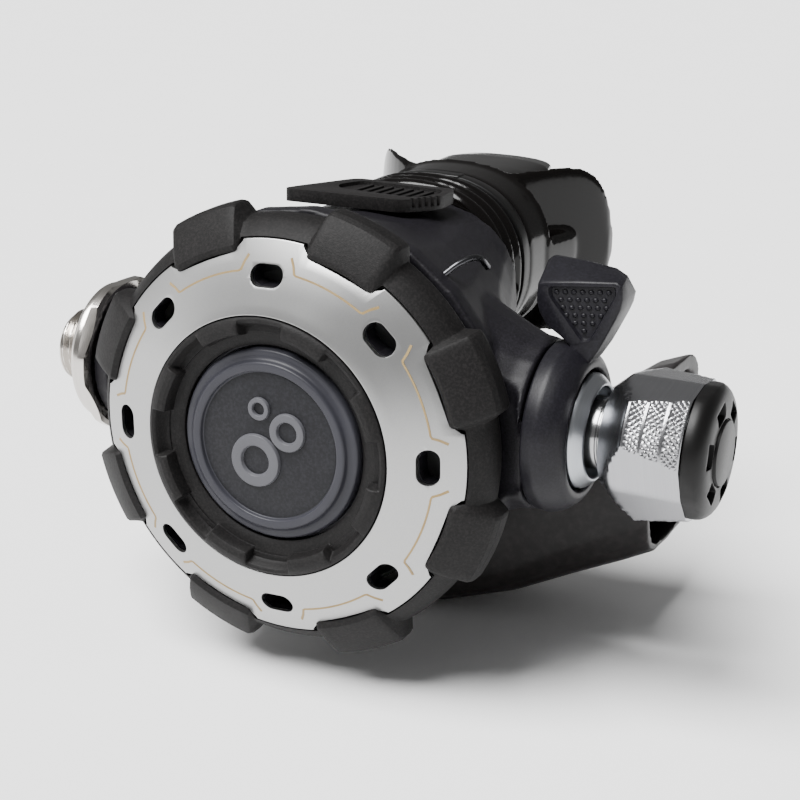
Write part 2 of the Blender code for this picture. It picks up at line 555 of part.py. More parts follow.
collar = turned("barrel_collar", [
    (BARREL_R + GAP, COLLAR_X0), (COLLAR_R, COLLAR_X0), (COLLAR_R, 108.2), (COLLAR_R - 0.3, 108.6),
    (8.6, COLLAR_X1),
    (8.2, COLLAR_X1), (7.8, 107.4), (SPINDLE_R + 0.5, 107.0), (SPINDLE_R + 0.5, 105.4), (BARREL_R + GAP,
    105.4),
], BRIGHT, barrel_axis, steps=28)

groove_x = 96.0
spindle = turned("adjuster_spindle", [
    (0.0, 87.6), (5.4, 87.6), (SPINDLE_R, 88.4), (SPINDLE_R, groove_x - 0.9), (5.2, groove_x - 0.9),
    (5.2, groove_x + 0.9),
    (SPINDLE_R, groove_x + 0.9), (SPINDLE_R, 114.0), (4.6, 114.6), (4.6, 126.6), (1.9, 126.6),
    (1.9, 119.0), (0.0, 119.0),
], BRIGHT, barrel_axis, steps=22)
adjuster_o_ring = turned("adjuster_o_ring", [(6.1 + 0.7 * cos(radians(60 * k)), groove_x + 0.7
                                              * sin(radians(60 * k))) for k in range(6)],
                         RUBBER, barrel_axis, steps=20)


def knob_outline(radius):
    """Three round knurled lands, each between two flats; neighbouring flats meet at a soft corner."""
    outline = []
    for land in (28.4, 148.4, 268.4):
        for off in (-30.7, -23.0, -15.8, 0.0, 15.8, 23.0, 30.7, 60.0):
            r = min(radius, KNOB_FLAT / cos(radians(abs(off) - KNOB_FLAT_TURN)))
            outline.append((-r * sin(radians(land + off)), -r * cos(radians(land + off))))
    return outline


def knob_ring(radius, x):
    return [(p[0], p[1], x) for p in knob_outline(radius)]


knob = loft("knob", [knob_ring(KNOB_NECK_R, KNOB_X0), knob_ring(KNOB_R_IN - 0.3, KNOB_FULL_X - 0.3),
                     knob_ring(KNOB_R_IN, KNOB_FULL_X), knob_ring(KNOB_R_OUT, KNOB_X1)], BRIGHT, barrel_axis)
boolean(knob, turned("knob_bore", [(0.0, 110.0), (SPINDLE_R + GAP, 110.0), (SPINDLE_R + GAP, 114.4),
                                   (4.6 + GAP, 114.9),
                                   (4.6 + GAP, 126.9), (9.4, 127.0), (9.4, 134.0), (0.0, 134.0)],
                     parent=barrel_axis, cutter=True, steps=22))
knob_screw = turned("knob_screw", [(0.0, 119.4), (1.6, 119.4), (1.6, 127.2), (4.2, 127.2), (4.2, 129.0),
                                   (0.0, 129.0)],
                    SPRING, barrel_axis, steps=20)
knob_cap = turned("knob_cap", [
    (0.0, CAP_X1), (CAP_DISC_R, CAP_X1), (CAP_DISC_R + 0.3, CAP_X1 - 0.9), (8.6, CAP_X1 - 1.1),
    (10.6, CAP_X1 - 1.7), (11.5, KNOB_X1 + 0.8),
    (11.5, KNOB_X1 + GAP), (9.1, KNOB_X1 + GAP), (9.1, 127.4), (7.4, 127.4), (7.4, 129.6), (0.0, 129.6),
], PLASTIC, barrel_axis, steps=30)

# --- exhaust -------------------------------------------------------------------------------------
tee_stations = [(0.0, 13.5, 44.5, -50.0, -27.5), (14.0, 15.5, 45.5, -49.0, -24.5), (27.0, 18.5, 47.0,
    -45.5, -17.0),
                (38.0, 20.5, 49.0, -40.5, -6.0), (48.0, 21.5, 50.5, -36.0, 1.2), (TEE_HALF, 22.0, 51.3,
                -33.0, 3.4)]
tee_all = [(-s[0],) + s[1:] for s in reversed(tee_stations[1:])] + tee_stations
tee = loft("exhaust_tee", [ellipse_x(COVER_X + s, y0, y1, z0, z1, TEE_POWER) for s, y0, y1, z0,
                           z1 in tee_all], RUBBER)
tee_inner = [(s * (1.05 if abs(s) == TEE_HALF else 1.0), y0 + TEE_WALL, y1 - TEE_WALL, z0 + TEE_WALL,
              z1 - TEE_WALL)
             for s, y0, y1, z0, z1 in tee_all]
tee_cut = loft("tee_inner", [ellipse_x(COVER_X + s, y0, y1, z0, z1, TEE_POWER) for s, y0, y1, z0,
                             z1 in tee_inner], cutter=True)
boolean(tee, tee_cut)
tee_port = cylinder("tee_port", PORT_R + GAP, (-40.0, -10.0), cutter=True)
tee_port.location = Vector((COVER_X, PORT_Y, 0)) * MM
boolean(tee, tee_port)
exhaust_valve = turned("exhaust_valve", [
    (0.0, 2.9), (1.2, 2.9), (1.2, -0.4), (2.4, -0.5), (PORT_R - 0.8, -0.3), (PORT_R - 0.6, -0.7), (2.6, -1.3),
    (0.0, -1.3),
], CLEAR, steps=32)
exhaust_valve.location = Vector((COVER_X, PORT_Y, PORT_BOTTOM - 0.05)) * MM

# --- mouthpiece ----------------------------------------------------------------------------------
neck_rings = []
rib_count, rib_pitch = 3, 3.4
y = NECK_Y0
for k in range(rib_count):
    grow = 0.9
    neck_rings += [(y, 0.0), (y + 1.1, grow), (y + 2.2, grow), (y + rib_pitch - 0.3, 0.0)]
    y += rib_pitch
neck_rings += [(y + 1.0, -1.2), (y + 4.6, -1.2), (y + 5.4, 0.0), (NECK_Y1, -1.0)]
mouthpiece = loft("mouthpiece", [ellipse_y(py, COVER_X, MOUTH_Z - MOUTH_B - g, MOUTH_Z + MOUTH_B + g,
                                           MOUTH_A + g, 2.3)
                                 for py, g in neck_rings], GLOSS)
wing_rings = []
for share in (-1.0, -0.96, -0.86, -0.66, -0.35, 0.0, 0.35, 0.66, 0.86, 0.96, 1.0):
    y_mid = NECK_Y1 - 0.6 + FLANGE_SWEEP * abs(share) ** 2.4
    half_h = (FLANGE_HALF_H + 3.2 * share ** 2) * sqrt(1 - 0.97 * abs(share) ** 10)
    wing_rings.append(ellipse_x(COVER_X + FLANGE_HALF_W * share, y_mid - 1.4, y_mid + 1.4,
                                MOUTH_Z - half_h, MOUTH_Z + half_h, 3.0, 12))
wings = loft("mouth_wings", wing_rings, cutter=True)
bridge = loft("palate_bridge", [ellipse_y(py, COVER_X - 2.0, z0, z1, w, 2.6, 14) for py, z0, z1, w in (
    (50.5, 20.0, 31.0, 11.0), (62.0, 24.0, 31.4, 12.5), (76.0, 26.6, 31.0, 12.5), (84.0, 27.4, 30.2,
    9.0))], cutter=True)
boolean(mouthpiece, wings, "UNION")
boolean(mouthpiece, bridge, "UNION")
for n, sgn in enumerate((-1, 1)):
    tab = loft(f"bite_tab_{n}", [ellipse_y(py, COVER_X + sgn * w, 11.5, 20.5, 2.4, 3.0, 10) for py,
                                 w in ((52.0, 18.0), (62.0, 20.0), (76.0, 21.0))], cutter=True)
    boolean(mouthpiece, tab, "UNION")
bore = loft("mouth_bore", [ellipse_y(py, COVER_X, MOUTH_Z - b, MOUTH_Z + b, a, 2.4) for py, a, b in (
    (20.0, STUB_A + GAP, STUB_B + GAP), (45.6, STUB_A + GAP, STUB_B + GAP), (45.7, 14.0, 9.5),
    (56.0, 13.0, 8.0))], cutter=True)
boolean(mouthpiece, bore)
clamp_y = NECK_Y0 + rib_count * rib_pitch + 1.2
clamp_rings = [ellipse_y(py, COVER_X, MOUTH_Z - MOUTH_B + 1.2 - t, MOUTH_Z + MOUTH_B - 1.2 + t,
                         MOUTH_A - 1.2 + t, 2.3)
               for py, t in ((clamp_y, 1.7), (clamp_y + 3.2, 1.7))]
clamp = loft("mouthpiece_clamp", clamp_rings, PLASTIC)
clamp_hole = loft("clamp_hole", [ellipse_y(py, COVER_X, MOUTH_Z - MOUTH_B + 1.2 - GAP, MOUTH_Z + MOUTH_B
                                           - 1.2 + GAP, MOUTH_A - 1.2 + GAP, 2.3)
                                 for py in (clamp_y - 3, clamp_y + 7)], cutter=True)
boolean(clamp, clamp_hole)

# --- top pad and the cover's locking clip --------------------------------------------------------
pad_z = top_z + 0.75
top_pad = prism("top_pad", [(43.0, 8.6), (68.5, 10.8), (73.0, 17.4), (71.4, 24.4), (50.0, 24.4),
                            (44.4, 12.0)],
                (pad_z, pad_z + 2.4), RUBBER, bevel=0.4)
clip_path = [(83.2, -8.4, 29.2), (84.4, -6.4, 29.4), (86.4, -4.0, 28.4), (88.0, -1.4, 27.6),
             (88.3, 0.4, 26.4)]
cover_clip = tube("cover_clip", clip_path, 0.65, SPRING)

for made in parts.objects:
    if made.type == "MESH":
        smooth(made)
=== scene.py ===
# %% [markdown]
# # A diving regulator's second stage, finished in Blender
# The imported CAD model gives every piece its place, and the rigid body it moves with. This file gives
# each visible piece its fine shape and its finish. Lengths are in millimetres, turned into metres by MM.
# The barrel lies along +X from the hose inlet to the knob, the front cover faces -Y and the mouthpiece
# points to +Y.

# %% Load the frame
import math
from math import cos, pi, radians, sin

import bmesh
import bpy
from mathutils import Matrix, Vector


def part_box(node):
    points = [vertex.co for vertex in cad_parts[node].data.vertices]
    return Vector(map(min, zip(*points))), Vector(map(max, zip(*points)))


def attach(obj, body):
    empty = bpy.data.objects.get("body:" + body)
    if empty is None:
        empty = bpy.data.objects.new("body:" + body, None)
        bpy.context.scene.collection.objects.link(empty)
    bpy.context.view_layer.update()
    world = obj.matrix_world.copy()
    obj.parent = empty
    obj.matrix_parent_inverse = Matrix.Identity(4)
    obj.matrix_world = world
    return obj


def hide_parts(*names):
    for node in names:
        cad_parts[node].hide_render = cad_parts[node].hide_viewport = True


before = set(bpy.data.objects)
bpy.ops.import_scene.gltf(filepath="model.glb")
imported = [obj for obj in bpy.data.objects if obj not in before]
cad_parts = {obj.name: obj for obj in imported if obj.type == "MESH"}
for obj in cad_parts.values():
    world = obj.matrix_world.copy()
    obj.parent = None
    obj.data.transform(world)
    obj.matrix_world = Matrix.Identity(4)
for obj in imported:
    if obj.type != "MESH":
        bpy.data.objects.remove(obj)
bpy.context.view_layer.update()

MM = 0.001

# %% [markdown]
# ## Sizes shared by several pieces
# A handful of values tie the pieces together: the cover's axis, the slot circle's plane, the radii of
# the cover's rings and the stations along the barrel. They repeat the CAD model's driving dimensions.

# %% Shared sizes
COVER_X, COVER_Z, PLATE_FRONT, COVER_CLOCK = 59.0, -3.3, 24.8, -1.7
PLATE_IN, PLATE_SLOT, PLATE_OUT, PLATE_NOTCH = 23.6, 30.1, 36.0, 34.0
PLATE_IN_RISE, PLATE_OUT_DROP, PLATE_T = 2.55, 2.8, 0.9
SLOTS, SLOT_LONG, SLOT_SHORT = 8, 6.4, 3.8
BAND_OUT, RING_BACK = 39.3, 11.0
BUTTON_R, BUTTON_FRONT = 17.4, 1.7
BARREL_R, GAP = 8.5, 0.3
MOUTH_Z, MOUTH_A, MOUTH_B = 16.0, 19.5, 17.0


def plate_height(radius):
    """Height of the fascia's front ahead of the slot circle: dished, highest at its inner edge."""
    if radius < PLATE_SLOT:
        return PLATE_IN_RISE * (PLATE_SLOT - radius) / (PLATE_SLOT - PLATE_IN)
    return -PLATE_OUT_DROP * (radius - PLATE_SLOT) / (PLATE_OUT - PLATE_SLOT)


# %% [markdown]
# ## Camera, light and floor
# The set is a plain one: a white sweep under one very large, soft overhead source, dim walls, and a
# weak box at the left. The floor is then the brightest thing that the front sees, so the blasted steel
# reflects it evenly, while the knob's flats, which look up and back, reflect the dim wall. The camera
# stands a third of a metre off.

# %% Camera
bpy.ops.object.camera_add(location=(0.20651, -0.27936, 0.10241), rotation=(radians(71.667), radians(-0.998),
    radians(26.089)))
camera = bpy.context.object
camera.data.lens, camera.data.sensor_width, camera.data.clip_start = 80.42, 36.0, 0.01
bpy.context.scene.camera = camera


def box_light(name, place, aim, size, power):
    """A soft box of that size in metres, turned to face a point."""
    bpy.ops.object.light_add(type="AREA", location=place)
    lamp = bpy.context.object
    lamp.name = name
    lamp.rotation_euler = (Vector(aim) - Vector(place)).to_track_quat("-Z", "Y").to_euler()
    lamp.data.shape, lamp.data.size, lamp.data.size_y = "RECTANGLE", size[0], size[1]
    lamp.data.energy = power
    return lamp


# %% Lights and sweep
middle = (0.06, 0.0, 0.0)
SKY_POWER, SKY_SPREAD, BOX_POWER, WALL_POWER = 9.0, 40, 0.8, 0.24
bpy.ops.object.light_add(type="SUN", rotation=(radians(24), radians(-16), 0))
overhead = bpy.context.object
overhead.name = "overhead_silk"
overhead.data.energy, overhead.data.angle = SKY_POWER, radians(SKY_SPREAD)
box_light("left_box", (-0.50, -0.28, 0.16), middle, (0.30, 0.50), BOX_POWER)

world = bpy.data.worlds.new("dim_walls")
bpy.context.scene.world = world
world.use_nodes = True
world.node_tree.nodes["Background"].inputs["Color"].default_value = (1.0, 1.0, 1.0, 1.0)
world.node_tree.nodes["Background"].inputs["Strength"].default_value = WALL_POWER


def clean_start():
    """Nothing selected and object mode, so that the next operator acts on one piece only."""
    if bpy.context.mode != "OBJECT":
        bpy.ops.object.mode_set(mode="OBJECT")
    bpy.ops.object.select_all(action="DESELECT")


clean_start()
FLOOR_Z = -50.6
bpy.ops.mesh.primitive_plane_add(size=6.0, location=(0.06, 1.0, FLOOR_Z * MM))
floor = bpy.context.object
floor.name = "floor"

# %% [markdown]
# ## Modelling helpers
# Most of this object is turned, so one helper draws half a section by extruding a point along it and
# spins it about Z. Its corners are rounded first, because no real turned edge is a knife edge. The
# second helper joins rings of points with faces, station to station, for shapes whose section changes.
# Both leave the piece at the origin, and two more lay a finished piece on the cover's or barrel's axis.

# %% Turning and lofting helpers
def rounded(points, fillet, count=4, closed=True):
    """The section with small arcs for corners. A point is (radius, height) or adds its own fillet."""
    made = []
    total = len(points)
    for i, point in enumerate(points):
        here = Vector(point[:2])
        reach = point[2] if len(point) > 2 else fillet
        if reach <= 0 or (not closed and i in (0, total - 1)) or point[0] <= 0:
            made.append(tuple(here))
            continue
        before, after = Vector(points[i - 1][:2]) - here, Vector(points[(i + 1) % total][:2]) - here
        if before.length < 1e-6 or after.length < 1e-6:
            made.append(tuple(here))
            continue
        reach = min(reach, before.length * 0.45, after.length * 0.45)
        a, b = here + before.normalized() * reach, here + after.normalized() * reach
        for k in range(count + 1):
            t = k / count
            made.append(tuple(a * (1 - t) ** 2 + here * 2 * t * (1 - t) + b * t ** 2))
    return made


def edit_mesh(obj):
    return bmesh.from_edit_mesh(obj.data)


def finish_edit(obj, name, merge=1e-7):
    """Merges the doubles, turns the faces out and leaves edit mode."""
    bpy.ops.mesh.select_all(action="SELECT")
    bpy.ops.mesh.remove_doubles(threshold=merge)
    bpy.ops.mesh.normals_make_consistent(inside=False)
    bpy.ops.object.mode_set(mode="OBJECT")
    obj.name = obj.data.name = name
    return obj


def spun(name, section, steps=144, fillet=0.0, count=4):
    """A turned piece about Z. section is (radius, height) in mm, closed unless it starts on the axis."""
    on_axis = section[0][0] <= 0
    points = rounded(section, fillet, count, not on_axis)
    if not on_axis:
        points.append(points[0])
    clean_start()
    bpy.ops.mesh.primitive_plane_add(size=MM)
    obj = bpy.context.object
    bpy.ops.object.mode_set(mode="EDIT")
    bpy.ops.mesh.merge(type="CENTER")
    bpy.ops.transform.translate(value=(points[0][0] * MM, 0, points[0][1] * MM))
    for (r0, h0), (r1, h1) in zip(points, points[1:]):
        bpy.ops.mesh.extrude_region_move(TRANSFORM_OT_translate={"value": ((r1 - r0) * MM, 0,
            (h1 - h0) * MM)})
    bpy.ops.mesh.select_all(action="SELECT")
    bpy.ops.mesh.spin(steps=steps, angle=2 * pi, center=(0, 0, 0), axis=(0, 0, 1))
    return finish_edit(obj, name, 2e-6)


def lofted(name, rings, joined=False):
    """Rings of points in mm joined by faces, each to the next; the ends are capped, or joined to each other."""
    clean_start()
    bpy.ops.mesh.primitive_circle_add(vertices=len(rings[0]), radius=MM)
    obj = bpy.context.object
    bpy.ops.object.mode_set(mode="EDIT")
    bm = edit_mesh(obj)
    loop = list(bm.verts)
    for v, point in zip(loop, rings[0]):
        v.co = Vector(point) * MM
    if not joined:
        bm.faces.new(loop)
    for ring in rings[1:]:
        grown = [bm.verts.new(Vector(point) * MM) for point in ring]
        for i in range(len(loop)):
            k = (i + 1) % len(loop)
            bm.faces.new((loop[i], loop[k], grown[k], grown[i]))
        loop = grown
    if joined:
        bm.verts.ensure_lookup_table()
        first = bm.verts[:len(loop)]
        for i in range(len(loop)):
            k = (i + 1) % len(loop)
            bm.faces.new((loop[i], loop[k], first[k], first[i]))
    else:
        bm.faces.new(loop)
    bmesh.update_edit_mesh(obj.data)
    return finish_edit(obj, name)


def settle(obj):
    """Puts the object's place and turn into its mesh, as a CAD node's are."""
    clean_start()
    obj.select_set(True)
    bpy.context.view_layer.objects.active = obj
    bpy.ops.object.transform_apply(location=True, rotation=True, scale=True)
    return obj


def on_cover(obj, clocked=True):
    """From local Z up to the cover's axis, whose front looks along -Y."""
    turn = Matrix.Rotation(radians(90), 4, "X") @ Matrix.Rotation(radians(-COVER_CLOCK if clocked else 0), 4,
        "Z")
    obj.matrix_world = Matrix.Translation(Vector((COVER_X, -PLATE_FRONT, COVER_Z)) * MM) @ turn
    return settle(obj)


def on_barrel(obj):
    """From local Z up to the barrel's axis, +X."""
    obj.matrix_world = Matrix.Rotation(radians(90), 4, "Y")
    return settle(obj)


def modify(obj, kind, **values):
    """Adds one modifier, sets it and applies it at once."""
    clean_start()
    obj.select_set(True)
    bpy.context.view_layer.objects.active = obj
    made = obj.modifiers.new(kind.lower(), kind)
    for key, value in values.items():
        setattr(made, key, value)
    bpy.ops.object.modifier_apply(modifier=made.name)
    return obj


def combine(obj, tool, operation="DIFFERENCE", keep=False, solver="EXACT"):
    """Cuts or joins with another mesh, which is used up unless it is kept."""
    modify(obj, "BOOLEAN", operation=operation, object=tool, solver=solver)
    if not keep:
        bpy.data.objects.remove(tool)
    return obj


def joined(objects, name):
    """Several meshes as one object."""
    clean_start()
    for o in objects:
        o.select_set(True)
    bpy.context.view_layer.objects.active = objects[0]
    bpy.ops.object.join()
    objects[0].name = objects[0].data.name = name
    return objects[0]


def ease_edges(obj, width, angle=30, segments=2):
    """Rounds every edge sharper than the angle."""
    return modify(obj, "BEVEL", width=width * MM, segments=segments, limit_method="ANGLE",
                  angle_limit=radians(angle),
                  use_clamp_overlap=True, harden_normals=False)


def done(obj, body, nodes, finish, angle=38):
    """Shades the piece, gives it its finish and its body, and hides the CAD nodes that it stands for."""
    clean_start()
    obj.select_set(True)
    bpy.context.view_layer.objects.active = obj
    bpy.ops.object.shade_smooth_by_angle(angle=radians(angle))
    obj.data.materials.clear()
    obj.data.materials.append(finish)
    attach(obj, body)
    if nodes:
        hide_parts(*nodes)
    print(obj.name, "faces:", len(obj.data.polygons))
    return obj


def outline_prism(name, outline, low, high):
    """A solid with a flat outline in XY, from one height to another; mm."""
    return lofted(name, [[(x, y, low) for x, y in outline], [(x, y, high) for x, y in outline]])


def polar(radius, degrees, height):
    """A point on the cover: degrees run clockwise from the top, seen from the front."""
    return (radius * sin(radians(degrees)), radius * cos(radians(degrees)), height)


print("helpers ready")

# %% [markdown]
# ## Finishes
# Every finish is built from Object coordinates, so that its grain has a real size in millimetres and
# needs no unwrapping. Colours are written as the sRGB hex one would pick with a colour picker and
# turned to the linear numbers that the shader wants.

# %% Colour and node helpers
def linear(hex_colour):
    """#rrggbb as the linear colour of a shader socket."""
    made = []
    for i in (1, 3, 5):
        c = int(hex_colour[i:i + 2], 16) / 255
        made.append(c / 12.92 if c <= 0.04045 else ((c + 0.055) / 1.055) ** 2.4)
    return (*made, 1.0)


def add_node(tree, kind, links=(), **values):
    """One node with its settings. A key that starts with in_ is an input; links are (output, input)."""
    node = tree.nodes.new("ShaderNode" + kind)
    for key, value in values.items():
        if key.startswith("in_"):
            node.inputs[key[3:].replace("_", " ")].default_value = value
        else:
            setattr(node, key, value)
    for source, name in links:
        tree.links.new(source, node.inputs[name])
    return node


def finish_material(name, colour, roughness, metallic=0.0, **shader_values):
    """A material with constants straight on the shader; returns it, its tree, shader and coordinates."""
    made = bpy.data.materials.new(name)
    made.use_nodes = True
    tree = made.node_tree
    shader = tree.nodes["Principled BSDF"]
    shader.inputs["Base Color"].default_value = linear(colour)
    shader.inputs["Roughness"].default_value = roughness
    shader.inputs["Metallic"].default_value = metallic
    for key, value in shader_values.items():
        shader.inputs[key.replace("_", " ")].default_value = value
    place = add_node(tree, "TexCoord").outputs["Object"]
    return made, tree, shader, place


def between(tree, factor, low, high):
    """A colour that runs from low to high, both hex, with the factor."""
    ramp = add_node(tree, "ValToRGB", links=[(factor, "Fac")])
    ramp.color_ramp.elements[0].color, ramp.color_ramp.elements[1].color = linear(low), linear(high)
    return ramp


def roughen(tree, shader, factor, low, high):
    """Roughness that runs from low to high with the factor."""
    span = add_node(tree, "MapRange", links=[(factor, "Value")])
    span.inputs["To Min"].default_value, span.inputs["To Max"].default_value = low, high
    tree.links.new(span.outputs["Result"], shader.inputs["Roughness"])


def grain(tree, shader, height, strength, depth_mm, before=None):
    """A bump of that depth from a height between 0 and 1."""
    bump = add_node(tree, "Bump", links=[(height, "Height")])
    bump.inputs["Strength"].default_value, bump.inputs["Distance"].default_value = strength, depth_mm * MM
    if before:
        tree.links.new(before.outputs["Normal"], bump.inputs["Normal"])
    tree.links.new(bump.outputs["Normal"], shader.inputs["Normal"])
    return bump


def noise(tree, place, size_mm, detail=3.0, rough=0.55):
    return add_node(tree, "TexNoise", links=[(place, "Vector")], in_Scale=1 / (size_mm * MM),
                    in_Detail=detail, in_Roughness=rough)


# %% [markdown]
# ### Rubbers and plastics
# The bumper is a moulded rubber with a coarse spark-eroded grain: a real bump, whose glints are painted
# into its colour as tiny pale specks. The case has the same grain and painted glints, finer. The button
# is a smoother, greyer rubber. The mouthpiece is polished silicone: nearly black, wet-looking, with a
# slight wave in the surface. The tee is a satin rubber.

# %% Rubbers and plastics
def grained(name, dark, light, size_mm, rough, depth_mm):
    """A moulded surface with spark-eroded grain: a fine bump, and specks of light colour painted in as the
    grain's glints.
    """
    made, tree, shader, place = finish_material(name, dark, rough, Specular_IOR_Level=0.2)
    cells = add_node(tree, "TexVoronoi", links=[(place, "Vector")], in_Scale=1 / (size_mm * MM))
    cloud = noise(tree, place, size_mm * 1.7, 4.0)
    # The specks are painted glints: a lighter colour where the grain would catch the light. The bump below is
    # the real grain.
    painted_glint_speck = add_node(tree, "MapRange", links=[(cloud.outputs["Fac"], "Value")], in_From_Min=0.42,
                     in_From_Max=0.72)
    tree.links.new(between(tree, painted_glint_speck.outputs["Result"], dark, light).outputs["Color"],
                   shader.inputs["Base Color"])
    wide = noise(tree, place, 9.0, 2.0)
    roughen(tree, shader, wide.outputs["Fac"], rough - 0.07, rough + 0.07)
    first = grain(tree, shader, cells.outputs["Distance"], 0.45, depth_mm)
    grain(tree, shader, cloud.outputs["Fac"], 0.55, depth_mm, first)
    return made


bumper_rubber = grained("coarse grained black rubber", "#090808", "#1b1919", 0.26, 0.62, 0.05)
trim_rubber = grained("grained black trim rubber", "#0a0909", "#1a1818", 0.24, 0.60, 0.05)
case_plastic = grained("fine grained charcoal plastic", "#0f0e11", "#1f1d22", 0.20, 0.46, 0.03)
lever_plastic = grained("satin charcoal plastic", "#121115", "#1c1b20", 0.24, 0.40, 0.02)
pad_rubber = grained("ribbed pad rubber", "#100f0f", "#232121", 0.22, 0.52, 0.04)
tee_rubber = grained("satin tee rubber", "#171515", "#221f1f", 0.9, 0.42, 0.03)


def smooth_rubber(name, colour, worn, rough, coat=0.0, wave_mm=6.0, wave_depth=0.03):
    """A polished or silky rubber: almost no grain, only a slow wave and a faint uneven sheen."""
    made, tree, shader, place = finish_material(name, colour, rough, Coat_Weight=coat, Coat_Roughness=0.06,
                                                Specular_IOR_Level=0.22)
    slow = noise(tree, place, wave_mm, 2.0)
    fine = noise(tree, place, 0.5, 3.0)
    tree.links.new(between(tree, slow.outputs["Fac"], colour, worn).outputs["Color"],
                   shader.inputs["Base Color"])
    roughen(tree, shader, fine.outputs["Fac"], max(rough - 0.06, 0.03), rough + 0.06)
    first = grain(tree, shader, slow.outputs["Fac"], 0.5, wave_depth)
    grain(tree, shader, fine.outputs["Fac"], 0.25, 0.01, first)
    return made


button_rubber = smooth_rubber("silky grey button rubber", "#2a2a2f", "#323238", 0.38)
button_mark_rubber = smooth_rubber("raised grey mark", "#4a4a4e", "#525256", 0.38)
button_disc_rubber = grained("matt grey button disc", "#151518", "#202024", 0.30, 0.50, 0.02)
mouth_silicone = smooth_rubber("polished black silicone", "#060505", "#0b0908", 0.12, 0.0, 11.0, 0.12)
clamp_nylon = smooth_rubber("black nylon tie", "#080808", "#0f0e0e", 0.34)
cap_plastic = smooth_rubber("black knob cap plastic", "#070707", "#0d0c0c", 0.40)

# %% [markdown]
# ### Metals
# The fascia is bead blasted steel: a soft, even, pale grey whose grain only shows at the highlight's
# edge. The knob, collar and spindle are turned aluminium, and carry fine rings from the tool, so the
# bump is stretched round the barrel. The inlet is chromed brass, smoother and a touch warmer.

# %% Metals
def blasted_metal(name, dark, light, rough):
    made, tree, shader, place = finish_material(name, light, rough, 1.0)
    fine = noise(tree, place, 0.16, 2.0, 0.6)
    wide = noise(tree, place, 14.0, 2.0)
    tree.links.new(between(tree, fine.outputs["Fac"], dark, light).outputs["Color"],
                   shader.inputs["Base Color"])
    roughen(tree, shader, wide.outputs["Fac"], rough - 0.04, rough + 0.05)
    grain(tree, shader, fine.outputs["Fac"], 0.35, 0.012)
    return made


def turned_metal(name, dark, light, rough, pitch_mm=0.12, depth_mm=0.006):
    """Rings left by the tool: noise squeezed along the barrel and stretched round it."""
    made, tree, shader, place = finish_material(name, light, rough, 1.0)
    squeeze = add_node(tree, "Mapping", links=[(place, "Vector")], in_Scale=(1 / (pitch_mm * MM), 12.0, 12.0))
    rings = add_node(tree, "TexNoise", links=[(squeeze.outputs["Vector"], "Vector")], in_Scale=1.0,
                     in_Detail=2.0)
    tree.links.new(between(tree, rings.outputs["Fac"], dark, light).outputs["Color"],
                   shader.inputs["Base Color"])
    wide = noise(tree, place, 5.0, 2.0)
    roughen(tree, shader, wide.outputs["Fac"], rough - 0.04, rough + 0.05)
    grain(tree, shader, rings.outputs["Fac"], 0.4, depth_mm)
    return made


fascia_steel = blasted_metal("bead blasted fascia steel", "#9b9b9b", "#b0b0af", 0.36)
knob_metal = turned_metal("satin knob aluminium", "#909093", "#adadb0", 0.24)
collar_metal = turned_metal("satin collar aluminium", "#93969b", "#b2b5b9", 0.28)
spindle_metal = turned_metal("bright spindle steel", "#8e8e90", "#b8b8b8", 0.18)
inlet_metal = turned_metal("chromed inlet brass", "#b9b4ae", "#d8d4cf", 0.20, 0.2, 0.004)
inner_metal = turned_metal("machined inner brass", "#a89a80", "#c9bda6", 0.24)
spring_wire = blasted_metal("drawn spring wire", "#8b8b8a", "#b5b5b3", 0.24)
line_paint, tree, shader, place = finish_material("tan inlay paint", "#8a7448", 0.5)
tree.links.new(between(tree, noise(tree, place, 1.2).outputs["Fac"], "#7d673d", "#957f55").outputs["Color"],
               shader.inputs["Base Color"])
white_acetal = smooth_rubber("white acetal", "#d6d5cf", "#e2e1dc", 0.35)
clear_silicone = smooth_rubber("milky silicone", "#9a9c9c", "#b0b2b2", 0.3)
# The clip wire is coloured a dark grey, much darker than the other steel.
dark_spring = blasted_metal("dark grey spring wire", "#3a3a3c", "#57575a", 0.28)
steel_plate = blasted_metal("stamped stainless", "#9d9d9c", "#bfbfbd", 0.3)

floor_paper, tree, shader, place = finish_material("white paper sweep", "#fcfcfc", 0.9)
tree.links.new(between(tree, noise(tree, place, 40.0).outputs["Fac"], "#fafafa", "#fefefe").outputs["Color"],
               shader.inputs["Base Color"])
floor.data.materials.append(floor_paper)
print("finishes:", len(bpy.data.materials))

# %% [markdown]
# ## Fascia plate
# A stamped steel ring, dished so that its inner edge stands proudest. It could be a flat ring bent by a
# modifier, but it is really turned, so it is spun. Eight slots let water reach the diaphragm and eight
# notches make room for the rubber blocks; one cutter each is modelled, copied round and subtracted
# together. The blasted edges are eased a little, which is what draws the bright line round each slot.

